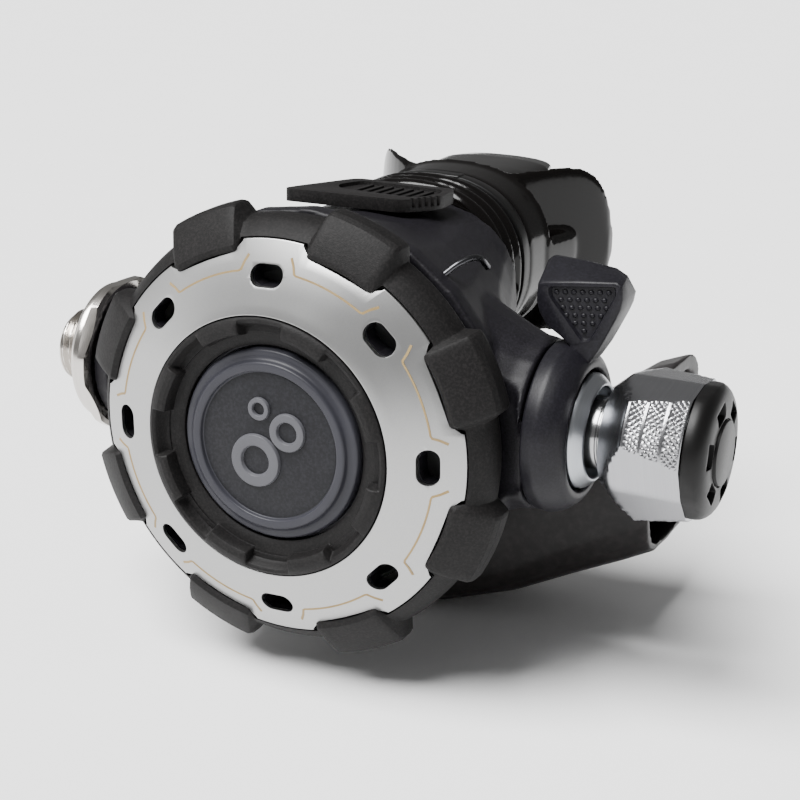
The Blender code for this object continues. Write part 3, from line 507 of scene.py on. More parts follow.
# %% Fascia plate
fascia = spun("fascia_ring", [
    (PLATE_IN, plate_height(PLATE_IN), 0.25), (PLATE_IN + 1.4, plate_height(PLATE_IN + 1.4) + 0.1, 0.8),
    (PLATE_SLOT, 0.08, 2.5), (PLATE_OUT, -PLATE_OUT_DROP, 0.2), (PLATE_OUT, -PLATE_OUT_DROP - PLATE_T, 0.1),
    (PLATE_SLOT, -PLATE_T, 1.5), (PLATE_IN, plate_height(PLATE_IN) - PLATE_T, 0.1),
], steps=180, count=5)
cutters = []
for n in range(SLOTS):
    half, cap = SLOT_LONG / 2 - SLOT_SHORT / 2, SLOT_SHORT / 2
    outline = [(half + cap * cos(radians(-90 + 15 * k)), cap * sin(radians(-90 + 15 * k))) for k in range(13)]
    outline += [(-x, -y) for x, y in outline]
    turn = Matrix.Rotation(-2 * pi * n / SLOTS, 2)
    cutters.append(outline_prism("slot", [tuple(turn @ Vector((x, y + PLATE_SLOT))) for x, y in outline],
                                 -12, 12))
    middle_deg = 22.5 + 45 * n
    corners = [(PLATE_NOTCH - 0.05, -9.7), (PLATE_NOTCH - 0.25, -5), (PLATE_NOTCH - 0.3, 0),
               (PLATE_NOTCH - 0.25, 5), (PLATE_NOTCH - 0.05, 9.7),
               (PLATE_NOTCH + 0.5, 10.8), (PLATE_OUT - 0.4, 12.9), (PLATE_OUT + 1.5, 14.2), (PLATE_OUT + 5,
               0), (PLATE_OUT + 1.5, -14.2),
               (PLATE_OUT - 0.4, -12.9), (PLATE_NOTCH + 0.5, -10.8)]
    cutters.append(outline_prism("notch", [polar(r, middle_deg + a, 0)[:2] for r, a in corners], -12, 12))
combine(fascia, joined(cutters, "fascia_cutters"))
ease_edges(fascia, 0.14, 50, 2)
on_cover(fascia)
done(fascia, "base", ["fascia_plate"], fascia_steel, 30)

# %% [markdown]
# ### Inlaid lines
# Between the slots run eight thin tan brackets, printed in a shallow groove. They are drawn as narrow
# strips laid a tenth of a millimetre proud, which prints just as crisply as paint would.

# %% Inlaid lines
LINE_W = 0.46
strips = []
for n in range(SLOTS):
    middle_deg = 22.5 + 45 * n
    path = [(33.5, -15.4), (32.3, -14.0), (31.15, -13.0), (30.95, -12.4)] + [(30.9, -12 + 2 * k)
        for k in range(13)] + [
        (30.95, 12.4), (31.15, 13.0), (32.3, 14.0), (33.5, 15.4)]
    spots = [Vector(polar(r, middle_deg + a, plate_height(r) + 0.10)) for r, a in path]
    rings = []
    for i, spot in enumerate(spots):
        along = (spots[min(i + 1, len(spots) - 1)] - spots[max(i - 1, 0)]).normalized()
        across = Vector((0, 0, 1)).cross(along).normalized() * LINE_W / 2
        rings.append([spot - across, spot + across, spot + across - Vector((0, 0, 0.25)), spot - across
                      - Vector((0, 0, 0.25))])
    strips.append(lofted("inlay", rings))
inlay = on_cover(joined(strips, "fascia_inlay"))
done(inlay, "base", [], line_paint)

# %% [markdown]
# ## Rubber bumper
# One moulding: a low band that swells into eight blocks. Its section changes as it goes round, so the
# section is carried from station to station around the axis and joined to itself, and the edges that
# the mould leaves crisp are bevelled. A union of separate blocks would leave hard creases instead.

# %% Rubber bumper
UNDER_LOW, UNDER_HIGH = -PLATE_OUT_DROP - PLATE_T - GAP, plate_height(PLATE_NOTCH) - PLATE_T - GAP
tucked = [(36.7, -RING_BACK), (36.7, -6.2), (33.6, -4.4), (33.6, plate_height(33.6) - PLATE_T - GAP)]
band = [(PLATE_OUT - 0.1, UNDER_LOW), (PLATE_OUT + 0.15, UNDER_LOW), (PLATE_OUT + 0.25, -2.95),
        (37.1, -3.75), (38.45, -5.6),
        (38.9, -6.7), (BAND_OUT, -8.2), (BAND_OUT, -9.8), (BAND_OUT - 0.3, -10.6), (BAND_OUT - 0.9,
        -RING_BACK)] + tucked
block = [(PLATE_NOTCH - 0.2, UNDER_HIGH), (PLATE_NOTCH + 0.0, UNDER_HIGH), (PLATE_NOTCH + 0.05, -1.75),
         (35.15, -1.35), (38.6, -3.3),
         (41.45, -5.3), (41.95, -6.5), (42.0, -9.2), (41.7, -10.3), (41.0, -10.7)] + tucked


def swept_section(name, stations, step=2.5):
    """Sections (with a half angle that depends on radius) joined round the axis; step is not used."""
    rings = []
    for n in range(SLOTS):
        middle_deg = 22.5 + 45 * n
        for section, angle_at in stations:
            rings.append([polar(r, middle_deg + angle_at(r), h) for r, h in section])
    return lofted(name, rings, joined=True)


def blend_sections(a, b, t):
    return [(p[0] + (q[0] - p[0]) * t, p[1] + (q[1] - p[1]) * t) for p, q in zip(a, b)]


def block_half(radius):
    """Half angle of a block's crown: it narrows from its inner edge to its outer one."""
    t = min(max((radius - PLATE_NOTCH) / 8.0, 0.0), 1.0)
    return 10.2 + (8.9 - 10.2) * t


stations = []
for side in (-1, 1):
    crown = [(block, lambda r, s=side, k=k: s * block_half(r) * k) for k in (0.8, 0.55, 0.3, 0.1)]
    shoulder = [(block, lambda r, s=side: s * (block_half(r) - 0.02)), (blend_sections(band, block, 0.90),
        lambda r, s=side: s * (block_half(r) + 0.75)),
                (blend_sections(band, block, 0.12), lambda r, s=side: s * (block_half(r) + 2.0)),
        (band, lambda r, s=side: s * (block_half(r) + 2.35))]
    plain = [(band, lambda r, s=side, a=a: s * (block_half(r) * (1 - (a - 12.9) / 9.6) + 22.5 * (a - 12.9)
                                                / 9.6 + 2.4 * (1 - (a - 12.9) / 9.6)))
             for a in (14.5, 17.0, 19.8)]
    half = crown[::-1] + shoulder + plain
    stations += half[::-1] if side < 0 else half
stations.append((band, lambda r: 22.5))
bumper = swept_section("bumper", stations)
ease_edges(bumper, 0.15, 24, 2)
on_cover(bumper)
done(bumper, "base", ["bumper_ring"], bumper_rubber, 19)

# %% [markdown]
# ## Castellated trim ring
# Inside the steel, a second rubber ring guards the button. Eight wide teeth, in line with the outer
# blocks, stand on it, and between them a thin lip shows. The same station-by-station sweep makes it.

# %% Castellated trim ring
low_side = [(23.35, 1.0), (20.5, 1.0), (20.3, -1.3), (17.9, -1.3), (17.9, -0.1)]
tooth = [(18.7, 0.35), (19.35, 0.5), (20.0, 0.6), (20.15, 2.0), (20.4, 3.2), (21.0, 3.45), (21.8, 3.5),
         (22.5, 3.3), (23.0, 3.05),
         (23.4, 2.75)] + low_side
notch = [(18.7, 0.35), (19.35, 0.5), (20.0, 0.6), (20.4, 0.68), (20.9, 0.75), (21.5, 0.95), (21.9, 1.7),
         (22.35, 2.7), (22.9, 2.95),
         (23.4, 2.7)] + low_side
stations = []
for side in (-1, 1):
    half = [(tooth, lambda r, s=side, a=a: s * a) for a in (1.5, 4.5, 7.5, 10.4)]
    half += [(blend_sections(notch, tooth, 0.9), lambda r, s=side: s * 11.1), (blend_sections(notch, tooth,
        0.1), lambda r, s=side: s * 11.9)]
    half += [(notch, lambda r, s=side, a=a: s * a) for a in (12.4, 15.0, 17.6, 20.2)]
    stations += half[::-1] if side < 0 else half
stations.append((notch, lambda r: 22.5))
trim = swept_section("trim_ring", stations)
ease_edges(trim, 0.1, 26, 2)
on_cover(trim)
done(trim, "base", ["castellated_ring"], trim_rubber, 19)

# %% [markdown]
# ## Purge button
# The diver presses this soft disc to blow water out of the regulator. It is turned: an outer ring, a
# groove, a raised rim and a flat disc. On the disc stands a plain mark of three rising bubbles, which
# stands for no maker. The mark is a separate set of low domes, because it is a lighter moulding.

# %% Purge button
f = BUTTON_FRONT
button = spun("purge_disc", [
    (0.0, f - 0.75), (13.45, f - 0.75, 0.2), (13.6, f + 0.05, 0.3), (15.1, f + 0.1, 0.35), (15.5, f - 0.75,
    0.3),
    (16.1, f - 1.05, 0.3), (17.1, f - 1.15, 0.4), (BUTTON_R, f - 1.9, 0.2), (BUTTON_R, -1.7, 0.2),
    (19.5, -1.7, 0.2), (19.5, -2.7, 0.2),
    (16.2, -2.7, 0.2), (16.2, -0.6, 0.4), (4.2, -0.6, 0.4), (4.2, -7.4, 0.3), (3.4, -8.1, 0.2), (0.0, -8.1),
], steps=144, count=4)
on_cover(button)
done(button, "purge", ["purge_button"], button_rubber, 40)

disc = spun("purge_face", [(0.0, f - 0.68), (13.2, f - 0.68, 0.02), (13.2, f - 1.0, 0.02), (0.0, f - 1.0)],
            steps=96)
on_cover(disc)
done(disc, "purge", [], button_disc_rubber, 40)

bubbles = []
for x, y, r in ((-2.6, -3.0, 4.9), (3.9, 2.9, 3.5), (-1.6, 6.6, 2.1)):
    bubble = spun("bubble", [(r * 0.52, f - 0.8, 0.0), (r * 0.58, f - 0.02, 0.14), (r * 0.96, f - 0.02,
        0.14), (r, f - 0.8, 0.0)], steps=72)
    bubble.location = (x * MM, y * MM, 0)
    bubbles.append(settle(bubble))
mark = on_cover(joined(bubbles, "purge_mark"))
done(mark, "purge", [], button_mark_rubber, 35)

# %% [markdown]
# ## Case
# The case is one moulding of glass-filled nylon: a round chamber behind the cover, two bosses for the
# barrel, a ledge on top and a socket for the mouthpiece. Its CAD solid already has those volumes, so
# the same shape is taken and its faceted joints are remeshed finely and relaxed, which gives the
# moulded blends between them that a bevel can't reach across a Boolean's edges.

# %% Helper for moulded pieces
def moulded(name, node_name, voxel, relax, faces_left=0.0):
    """A copy of the CAD piece, remeshed and relaxed, so that its inner corners flow as a moulding's do."""
    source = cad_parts[node_name]
    obj = bpy.data.objects.new(name, source.data.copy())
    bpy.context.scene.collection.objects.link(obj)
    obj.matrix_world = source.matrix_world
    obj.modifiers.clear()
    settle(obj)
    modify(obj, "REMESH", mode="VOXEL", voxel_size=voxel * MM, use_smooth_shade=True)
    modify(obj, "SMOOTH", factor=0.5, iterations=relax)
    if faces_left:
        modify(obj, "DECIMATE", ratio=faces_left)
    obj.name = obj.data.name = name
    return obj


# %% Case
case = moulded("case_shell", "case", 0.55, 4)
done(case, "base", ["case"], case_plastic, 60)

# %% [markdown]
# ## Top pad
# A soft rubber plate glued on the ledge: a rounded rim, a sunk field with small ribs and a saw-toothed
# right edge for the thumb. It is raised straight from its outline, the field and the saw teeth are cut
# in, and the ribs are laid in the field.

# %% Top pad
pad_low, pad_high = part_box("top_pad")
PAD_Z0, PAD_Z1 = pad_low.z / MM, pad_high.z / MM
pad_corners = [(42.3, 8.7), (48.0, 9.0), (66.6, 10.2), (71.4, 16.6), (71.0, 24.4), (50.0, 24.4), (43.6, 12.0)]
pad_outline = rounded([(x, y) for x, y in pad_corners], 2.2, 8)
pad = outline_prism("pad_plate", pad_outline, PAD_Z0, PAD_Z1)
field_corners = [(51.5, 14.2), (67.2, 13.4), (70.2, 17.8), (69.2, 22.6), (52.0, 22.6), (49.6, 17.0)]
field = outline_prism("pad_field", rounded(field_corners, 2.0, 8), PAD_Z1 - 0.7, PAD_Z1 + 2)
combine(pad, field)
teeth = []
for k in range(5):
    base = Vector((67.6, 11.5)).lerp(Vector((71.3, 16.9)), (k + 0.5) / 5)
    out = Vector((1.0, -0.62)).normalized()
    side = Vector((-out.y, out.x)) * 0.36
    near, far = base - out * 0.85, base + out * 2.0
    teeth.append(outline_prism("tooth_gap", [tuple(near - side), tuple(far - side), tuple(far + side),
                                             tuple(near + side)],
                               PAD_Z0 + 0.7, PAD_Z1 + 1))
combine(pad, joined(teeth, "pad_tooth_gaps"))
ease_edges(pad, 0.26, 40, 3)
ribs = []
for k in range(7):
    x = 53.5 + 2.1 * k
    rib = outline_prism("rib", [(x, 15.0 + 0.3 * (k == 0)), (x + 0.8, 15.0), (x + 1.5, 21.8),
                                (x + 0.7, 21.8)], PAD_Z1 - 0.8, PAD_Z1 - 0.3)
    ribs.append(rib)
ribs = ease_edges(joined(ribs, "pad_ribs"), 0.15, 40, 2)
done(ribs, "base", [], pad_rubber, 40)
done(pad, "base", ["top_pad"], pad_rubber, 35)

# %% [markdown]
# ## Cover clip
# A bent spring wire that locks the cover ring: one smooth arc of round wire, drawn as a curve with a
# round bevel.

# %% Cover clip
clean_start()
bpy.ops.curve.primitive_bezier_curve_add()
clip = bpy.context.object
CLIP_WIRE_R = 0.58
clip.data.bevel_depth, clip.data.bevel_resolution, clip.data.use_fill_caps = CLIP_WIRE_R * MM, 6, True
clip.data.splines[0].bezier_points.add(2)
for point, spot in zip(clip.data.splines[0].bezier_points, ((83.6, -8.0, 26.6), (85.6, -6.2, 28.4),
                                                            (87.6, -3.0, 28.9), (88.2, 0.0, 26.7))):
    point.co = Vector(spot) * MM
    point.handle_left_type = point.handle_right_type = "AUTO"
bpy.ops.object.convert(target="MESH")
clip = bpy.context.object
clip.name = clip.data.name = "clip_wire"
done(clip, "base", ["cover_clip"], dark_spring, 60)

# %% [markdown]
# ## Inlet nipple, flange and barrel
# The barrel is a chromed brass tube. At the inlet end it carries a male thread, which is a real helix
# here: the loft's rings step along the barrel while the crest's angle turns with them. A round flange
# stops the hose nut, and behind it is a hexagon with turned corners.

# %% Barrel with its inlet
NIPPLE_R, NIPPLE_LEN, PITCH, BORE_R, FLANGE_R, FLANGE_T = 7.14, 8.5, 1.411, 3.1, 13.5, 1.6
THREAD_STEPS, THREAD_SIDES = 10, 96


def thread_height(turns):
    """Crest height from 0 at the root to 1: straight flanks with a small flat."""
    t = turns % 1.0
    return min(max((0.5 - abs(t - 0.5)) * 2.9 - 0.35, 0.0), 1.0)


thread_rings = []
rows = int((NIPPLE_LEN - 0.6) / PITCH * THREAD_STEPS * 1.4)
for i in range(rows + 1):
    x = 0.35 + (NIPPLE_LEN - 1.1) * i / rows
    fade = min(1.0, i / 5, (rows - i) / 4)
    ring = []
    for k in range(THREAD_SIDES):
        a = 2 * pi * k / THREAD_SIDES
        r = NIPPLE_R - 0.95 + 0.95 * thread_height(x / PITCH - k / THREAD_SIDES) * fade
        ring.append((r * cos(a), r * sin(a), x))
    thread_rings.append(ring)


def round_ring(radius, x, sides=THREAD_SIDES):
    return [(radius * cos(2 * pi * k / sides), radius * sin(2 * pi * k / sides), x) for k in range(sides)]


f0, f1 = NIPPLE_LEN - 0.4, NIPPLE_LEN + FLANGE_T
outer = [(NIPPLE_R - 1.6, 0.0), (NIPPLE_R - 1.25, 0.1), (NIPPLE_R - 1.0, 0.3)]
after = [(NIPPLE_R - 1.0, f0 - 0.5), (NIPPLE_R - 0.9, f0 - 0.12), (NIPPLE_R + 0.5, f0)]
after += [(FLANGE_R - 0.8, f0), (FLANGE_R - 0.3, f0 + 0.1), (FLANGE_R - 0.05, f0 + 0.35),
          (FLANGE_R, f0 + 0.6), (FLANGE_R, f1 - 0.5),
          (FLANGE_R - 0.12, f1 - 0.18), (FLANGE_R - 0.5, f1 - 0.02), (BARREL_R + 0.3, f1),
          (BARREL_R, f1 + 0.3)]
after += [(BARREL_R, 30.0), (BARREL_R, 60.0), (BARREL_R, 90.0), (BARREL_R, 104.6), (BARREL_R - 0.4, 105.0),
          (6.9, 105.0)]
inner = [(6.9, 100.0), (6.9, 88.0), (7.3, 87.6), (7.3, 16.0), (BORE_R, 14.0), (BORE_R, 1.0), (BORE_R + 0.15,
    0.4), (BORE_R + 0.6, 0.0)]
barrel = lofted("barrel_tube", [round_ring(r, x) for r, x in outer] + thread_rings + [round_ring(r, x) for r,
    x in after + inner], joined=True)
on_barrel(barrel)
done(barrel, "base", ["valve_barrel"], inlet_metal, 40)

# %% Inlet nut
NUT_FLAT, NUT_CORNER = 14.2, 15.0
nut_low, nut_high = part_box("inlet_nut")
n0, n1 = nut_low.x / MM, nut_high.x / MM
nut = spun("inlet_hexagon", [(BARREL_R + 0.3, n0), (NUT_CORNER - 0.9, n0), (NUT_CORNER, n0 + 0.5),
                             (NUT_CORNER, n1 - 0.5),
                             (NUT_CORNER - 0.8, n1), (BARREL_R + 0.3, n1)], steps=120)
hexagon = outline_prism("hexagon", [(NUT_FLAT / cos(radians(30)) * cos(radians(60 * k + 30)),
                                     NUT_FLAT / cos(radians(30)) * sin(radians(60 * k + 30)))
                                    for k in range(6)], n0 - 2, n1 + 2)
combine(nut, hexagon, "INTERSECT")
ease_edges(nut, 0.1, 20, 2)
on_barrel(nut)
done(nut, "base", ["inlet_nut"], inlet_metal, 30)

# %% [markdown]
# ## Venturi lever
# A flat ring round the barrel with a thumb pad on top. Turned, the ring has one rounded outer edge and
# a chamfer towards the knob. The pad is lofted from front to back, widest at the top, with its front
# hollowed into a triangle that holds six rows of little raised dots for grip.

# %% Venturi lever
SPINDLE_R, KNOB_X0, KNOB_FULL_X, KNOB_X1 = 6.4, 113.2, 118.6, 130.0
KNOB_IN, KNOB_OUT, KNOB_FLAT, CAP_X1, CAP_DISC_R = 14.15, 12.3, 11.46, 132.9, 5.7
COLLAR_R = 10.3
lever_ring = spun("lever_ring", [
    (BARREL_R + GAP, 101.3, 0.1), (15.0, 101.3, 0.5), (15.3, 103.9, 0.6), (14.5, 106.1, 0.9), (13.2, 107.7,
    0.5), (12.0, 108.4, 0.5),
    (11.1, 108.4, 0.3), (COLLAR_R + 0.4, 107.6, 0.1), (COLLAR_R + 0.4, 103.9, 0.1), (BARREL_R + GAP, 103.9,
    0.1),
], steps=128, count=5)
on_barrel(lever_ring)
PAD_Y0, PAD_Y1 = -1.4, 6.4
pad_centre = Vector((105.5, 21.0))
pad_stations = [  # y, how far in, then the crown from left to right
    (PAD_Y0, 0.05, (98.1, 25.2), (98.9, 25.8), (105.5, 26.6), (112.4, 27.3), (113.3, 26.8)),
    (PAD_Y0 + 0.16, 0.016, (98.1, 25.2), (98.9, 25.85), (105.5, 26.65), (112.4, 27.35), (113.3, 26.8)),
    (PAD_Y0 + 0.5, 0.0, (98.1, 25.3), (98.9, 26.0), (105.5, 26.75), (112.4, 27.4), (113.3, 26.8)),
    (2.0, 0.0, (97.9, 26.8), (98.7, 27.5), (104.8, 27.7), (111.6, 27.75), (112.8, 27.0)),
    (PAD_Y1 - 1.6, 0.0, (97.6, 28.2), (98.5, 29.0), (104.4, 28.8), (110.3, 28.2), (112.2, 27.2)),
    (PAD_Y1 - 0.5, 0.015, (97.7, 28.3), (98.6, 29.1), (104.2, 28.8), (109.8, 28.1), (111.8, 27.0)),
    (PAD_Y1, 0.07, (97.9, 28.0), (98.8, 28.8), (104.0, 28.4), (109.4, 27.8), (111.4, 26.8)),
]
pad_rings = []
for y, inward, *crown in pad_stations:
    ring = [(105.2, 12.4), (104.6, 15.0), (102.6, 16.6), (100.0, 18.2), (98.6, 20.4), (98.0, 22.4)] + crown
    ring += [(113.6, 24.4), (113.3, 22.6), (112.6, 20.8), (110.8, 17.0), (109.8, 15.0), (108.2, 12.4)]
    pad_rings.append([(x + (pad_centre.x - x) * inward, y, z + (pad_centre.y - z) * inward) for x, z in ring])
thumb = lofted("thumb_pad", pad_rings)
combine(lever_ring, thumb, "UNION")
hollow = [(100.1, 25.1), (112.3, 26.6), (112.4, 24.9), (108.1, 16.4), (106.7, 16.1), (100.3, 23.6)]
hollow_mid = Vector((106.6, 22.2))
hollow_rings = []
for y, grow in ((-3.0, 1.10), (PAD_Y0 + 0.02, 1.0), (PAD_Y0 + 0.75, 0.93)):
    hollow_rings.append([(hollow_mid.x + (x - hollow_mid.x) * grow, y, hollow_mid.y + (z - hollow_mid.y)
                          * grow)
                         for x, z in rounded(hollow, 0.7, 4)])
combine(lever_ring, lofted("thumb_hollow", hollow_rings))
ease_edges(lever_ring, 0.16, 40, 2)
studs = []
for row, count in enumerate((7, 6, 6, 5, 3, 1)):
    shift = (0.0, 0.1, 0.75, 0.6, 0.75, 0.9)[row] * 0.7
    for k in range(count):
        x = 106.15 + (k - (count - 1) / 2) * 1.56 + shift
        z = 24.75 - row * 1.36 + (x - 106.5) * 0.11
        clean_start()
        bpy.ops.mesh.primitive_uv_sphere_add(location=(x * MM, (PAD_Y0 + 0.72) * MM, z * MM), segments=20,
                                             ring_count=12, radius=0.52 * MM,
                                             scale=(1.0, 0.75, 0.85))
        studs.append(settle(bpy.context.object))
studs = joined(studs, "thumb_dimples")
done(studs, "venturi", [], lever_plastic, 60)
done(lever_ring, "venturi", ["venturi_lever"], lever_plastic, 35)

# %% [markdown]
# ## Collar and spindle
# A bright nut closes the barrel. Its outer lip is a cone that catches the light, and inside it is dark
# where the spindle comes out. Both are turned.

# %% Collar and spindle
collar = spun("collar_nut", [
    (BARREL_R + GAP, 104.2, 0.1), (COLLAR_R, 104.2, 0.2), (COLLAR_R, 108.3, 0.15), (COLLAR_R - 0.25, 108.9,
    0.2), (8.7, 110.45, 0.2), (8.35, 110.6, 0.15),
    (8.1, 110.3, 0.1), (7.9, 107.4, 0.3), (SPINDLE_R + 0.5, 107.0, 0.2), (SPINDLE_R + 0.5, 105.4, 0.1),
    (BARREL_R + GAP, 105.4, 0.1),
], steps=128, count=4)
on_barrel(collar)
done(collar, "base", ["barrel_collar"], collar_metal, 30)

spindle = spun("spindle_rod", [
    (0.0, 87.6), (5.4, 87.6, 0.1), (SPINDLE_R, 88.4, 0.2), (SPINDLE_R, 95.1, 0.1), (5.2, 95.1, 0.1),
    (5.2, 96.9, 0.1), (SPINDLE_R, 96.9, 0.1),
    (SPINDLE_R, 111.6, 0.05), (SPINDLE_R - 0.22, 111.75, 0.05), (SPINDLE_R - 0.22, 112.0, 0.05),
    (SPINDLE_R, 112.15, 0.05), (SPINDLE_R, 114.0, 0.2),
    (4.6, 114.6, 0.1), (4.6, 126.6, 0.1), (1.9, 126.6, 0.1), (1.9, 119.0, 0.1), (0.0, 119.0),
], steps=96, count=3)
on_barrel(spindle)
done(spindle, "adjuster_knob", ["adjuster_spindle"], spindle_metal, 30)

# %% [markdown]
# ## Adjustment knob
# A plain cone opens from the neck to a tapered barrel with six flats milled on it, so three round lands
# stay between them. The lands are knurled in three belts, parted by two thin bright bands. The knurl is
# real: the rings that the knob is lofted through carry a diamond pattern, which the flats cut away.

# %% Knob
KNURL_PITCH, KNURL_DEPTH, KNURL_STEP = 1.05, 0.26, 0.13
BELTS = ((119.1, 121.5), (122.0, 125.0), (125.5, 128.2))
KNOB_LIP = 128.45  # where the cap meets the knurled barrel
LAND_TURN, FLAT_TURN = 28.4, 52.0  # middle of the first land, and a flat's turn from the land beside it
LAND_SPAN, LAND_POINTS, FLAT_POINTS = 31.5, 90, 9


def knurl(along, around):
    """Height of a diamond knurl between 0 and 1: two sets of straight grooves that cross."""
    u, v = (along + around) / KNURL_PITCH, (along - around) / KNURL_PITCH
    return min(abs(2 * (u % 1) - 1), abs(2 * (v % 1) - 1)) ** 0.8


knob_offsets = [-LAND_SPAN + 2 * LAND_SPAN * k / (LAND_POINTS - 1) for k in range(LAND_POINTS)]
knob_offsets += [LAND_SPAN + (120 - 2 * LAND_SPAN) * k / (FLAT_POINTS + 1) for k in range(1, FLAT_POINTS + 1)]


def knob_ring(radius, x, belt=0.0):
    """One ring round the knob; the belt says how much of the knurl it carries."""
    ring = []
    for land in range(3):
        for off in knob_offsets:
            angle = radians(LAND_TURN + 120 * land + off)
            near = min(abs(off), 120 - off)
            r = radius - KNURL_DEPTH * belt * (1 - knurl(x, radius * radians(off)))
            r = min(r, KNOB_FLAT / cos(radians(near - FLAT_TURN)))
            ring.append((-r * sin(angle), -r * cos(angle), x))
    return ring


def knob_radius(x):
    return KNOB_IN + (KNOB_OUT - KNOB_IN) * (x - KNOB_FULL_X) / (KNOB_X1 - KNOB_FULL_X)


knob_rings = [knob_ring(SPINDLE_R + 0.5, KNOB_X0 + 0.3), knob_ring(9.1, KNOB_X0), knob_ring(9.35,
    KNOB_X0 + 0.08)]
for share in (0.15, 0.3, 0.45, 0.6, 0.75, 0.9, 1.0):
    knob_rings.append(knob_ring(9.35 + (KNOB_IN - 0.45 - 9.35) * share, KNOB_X0 + 0.08 + (KNOB_FULL_X - 0.35
        - KNOB_X0) * share))
knob_rings.append(knob_ring(KNOB_IN - 0.12, KNOB_FULL_X - 0.05))
x = KNOB_FULL_X + 0.12
while x < KNOB_LIP - 0.2:
    belt = max(min(1.0, (x - b0) / 0.14, (b1 - x) / 0.14) for b0, b1 in BELTS)
    knob_rings.append(knob_ring(knob_radius(x), x, max(belt, 0.0)))
    x += KNURL_STEP
LIP_R = knob_radius(KNOB_LIP)
knob_rings += [knob_ring(LIP_R - 0.04, KNOB_LIP - 0.1), knob_ring(LIP_R - 0.2, KNOB_LIP), knob_ring(10.7,
    KNOB_LIP),
               knob_ring(10.7, KNOB_X1), knob_ring(9.4, KNOB_X1), knob_ring(9.4, 127.0),
               knob_ring(5.0, 126.9), knob_ring(5.0, 115.0), knob_ring(SPINDLE_R + 0.4, 114.6)]
knob = lofted("knob_shell", knob_rings, joined=True)
on_barrel(knob)
done(knob, "adjuster_knob", ["knob"], knob_metal, 28)

# %% [markdown]
# ## Knob cap
# The black plastic plug in the knob's end. Its skirt follows the knob's flats and lands, then domes over
# to a raised disc with six short notches round it. It is lofted through the same rings as the knob.

# %% Knob cap
cap_profile = [(7.4, 129.6), (7.4, 127.4), (9.1, 127.4), (9.1, 130.3), (11.0, 130.3),
               (11.0, KNOB_LIP + 0.12), (11.85, KNOB_LIP + 0.12),
               (11.98, KNOB_LIP + 0.25), (11.95, 129.6), (11.8, 130.3), (11.5, 130.9), (11.0, 131.45),
               (10.3, 131.9), (9.5, 132.2), (8.4, 132.4),
               (CAP_DISC_R + 0.5, 132.45), (CAP_DISC_R + 0.3, 132.4), (CAP_DISC_R + 0.25, 132.1),
               (CAP_DISC_R + 0.1, 132.1), (CAP_DISC_R, 132.3),
               (CAP_DISC_R - 0.05, CAP_X1 - 0.08), (CAP_DISC_R - 0.2, CAP_X1)]
cap = lofted("cap_plug", [knob_ring(r, x) for r, x in cap_profile])
slots = []
for k in range(6):
    a = radians(258 - 60 * k)
    outline = rounded([(6.3, -2.0), (9.0, -2.3), (9.0, 2.3), (6.3, 2.0)], 0.35, 3)
    slots.append(outline_prism("cap_slot", [(x * cos(a) - y * sin(a), x * sin(a) + y * cos(a)) for x,
                                            y in outline], CAP_X1 - 1.8, CAP_X1 + 1))
combine(cap, joined(slots, "cap_slots"))
ease_edges(cap, 0.1, 40, 2)
on_barrel(cap)
done(cap, "adjuster_knob", ["knob_cap"], cap_plastic, 35)

# %% [markdown]
# ## Mouthpiece, tie and exhaust tee
# The mouthpiece is one piece of polished silicone: an oval neck with ribs, a broad flange that sits
# between lips and gums and curls back at both ends, a bridge over the palate and two bite tabs. Each
# volume is a loft of rounded ovals; they are joined by a fine remesh and relaxed, so the corners flow.

# %% Mouthpiece volumes
def oval(centre, a, b, power, count=72):
    """A rounded oval: power 2 is an ellipse and higher powers are squarer."""
    points = []
    for k in range(count):
        c, s = cos(2 * pi * k / count), sin(2 * pi * k / count)
        points.append((centre[0] + a * math.copysign(abs(c) ** (2 / power), c), centre[1] + b
                       * math.copysign(abs(s) ** (2 / power), s)))
    return points


def tube_y(name, stations):
    """A loft along Y from (y, centre, half width, half height, power)."""
    return lofted(name, [[(x, y, z) for x, z in oval(centre, a, b, power)] for y, centre, a, b,
                         power in stations])


NECK_Y0, NECK_Y1, RIB_PITCH, RIBS = 28.9, 52.0, 3.4, 3
FLANGE_HALF_W, FLANGE_HALF_H, FLANGE_SWEEP = 26.8, 16.0, 20.5
neck = []
for k in range(RIBS * 12):
    wave = 0.5 - 0.5 * cos(2 * pi * k / 12)
    neck.append((NECK_Y0 + RIB_PITCH * k / 12, 1.25 * wave ** 0.6 - 0.15))
clamp_y = NECK_Y0 + RIBS * RIB_PITCH + 1.2
neck += [(clamp_y - 1.0, -0.1), (clamp_y - 0.3, -1.2), (clamp_y + 3.4, -1.2), (clamp_y + 4.0, -0.2),
         (clamp_y + 4.8, 0.2), (NECK_Y1, 0.6), (NECK_Y1 + 1.4, 1.2)]
neck = tube_y("neck", [(y, (COVER_X, MOUTH_Z), MOUTH_A + g, MOUTH_B + g, 2.3) for y, g in neck])
sheet = []
for k in range(41):
    share = sin(radians(-90 + 180 * k / 40))
    y_mid = NECK_Y1 - 0.6 + FLANGE_SWEEP * abs(share) ** 2.4
    half_h = (FLANGE_HALF_H + 3.2 * share ** 2) * math.sqrt(max(1 - abs(share) ** 10, 0.01))
    thick = 1.25 + 0.35 * abs(share) ** 3
    sheet.append([(COVER_X + FLANGE_HALF_W * share, y, z) for y, z in oval((y_mid, MOUTH_Z), thick, half_h,
        2.6)])
sheet = lofted("flange", sheet)
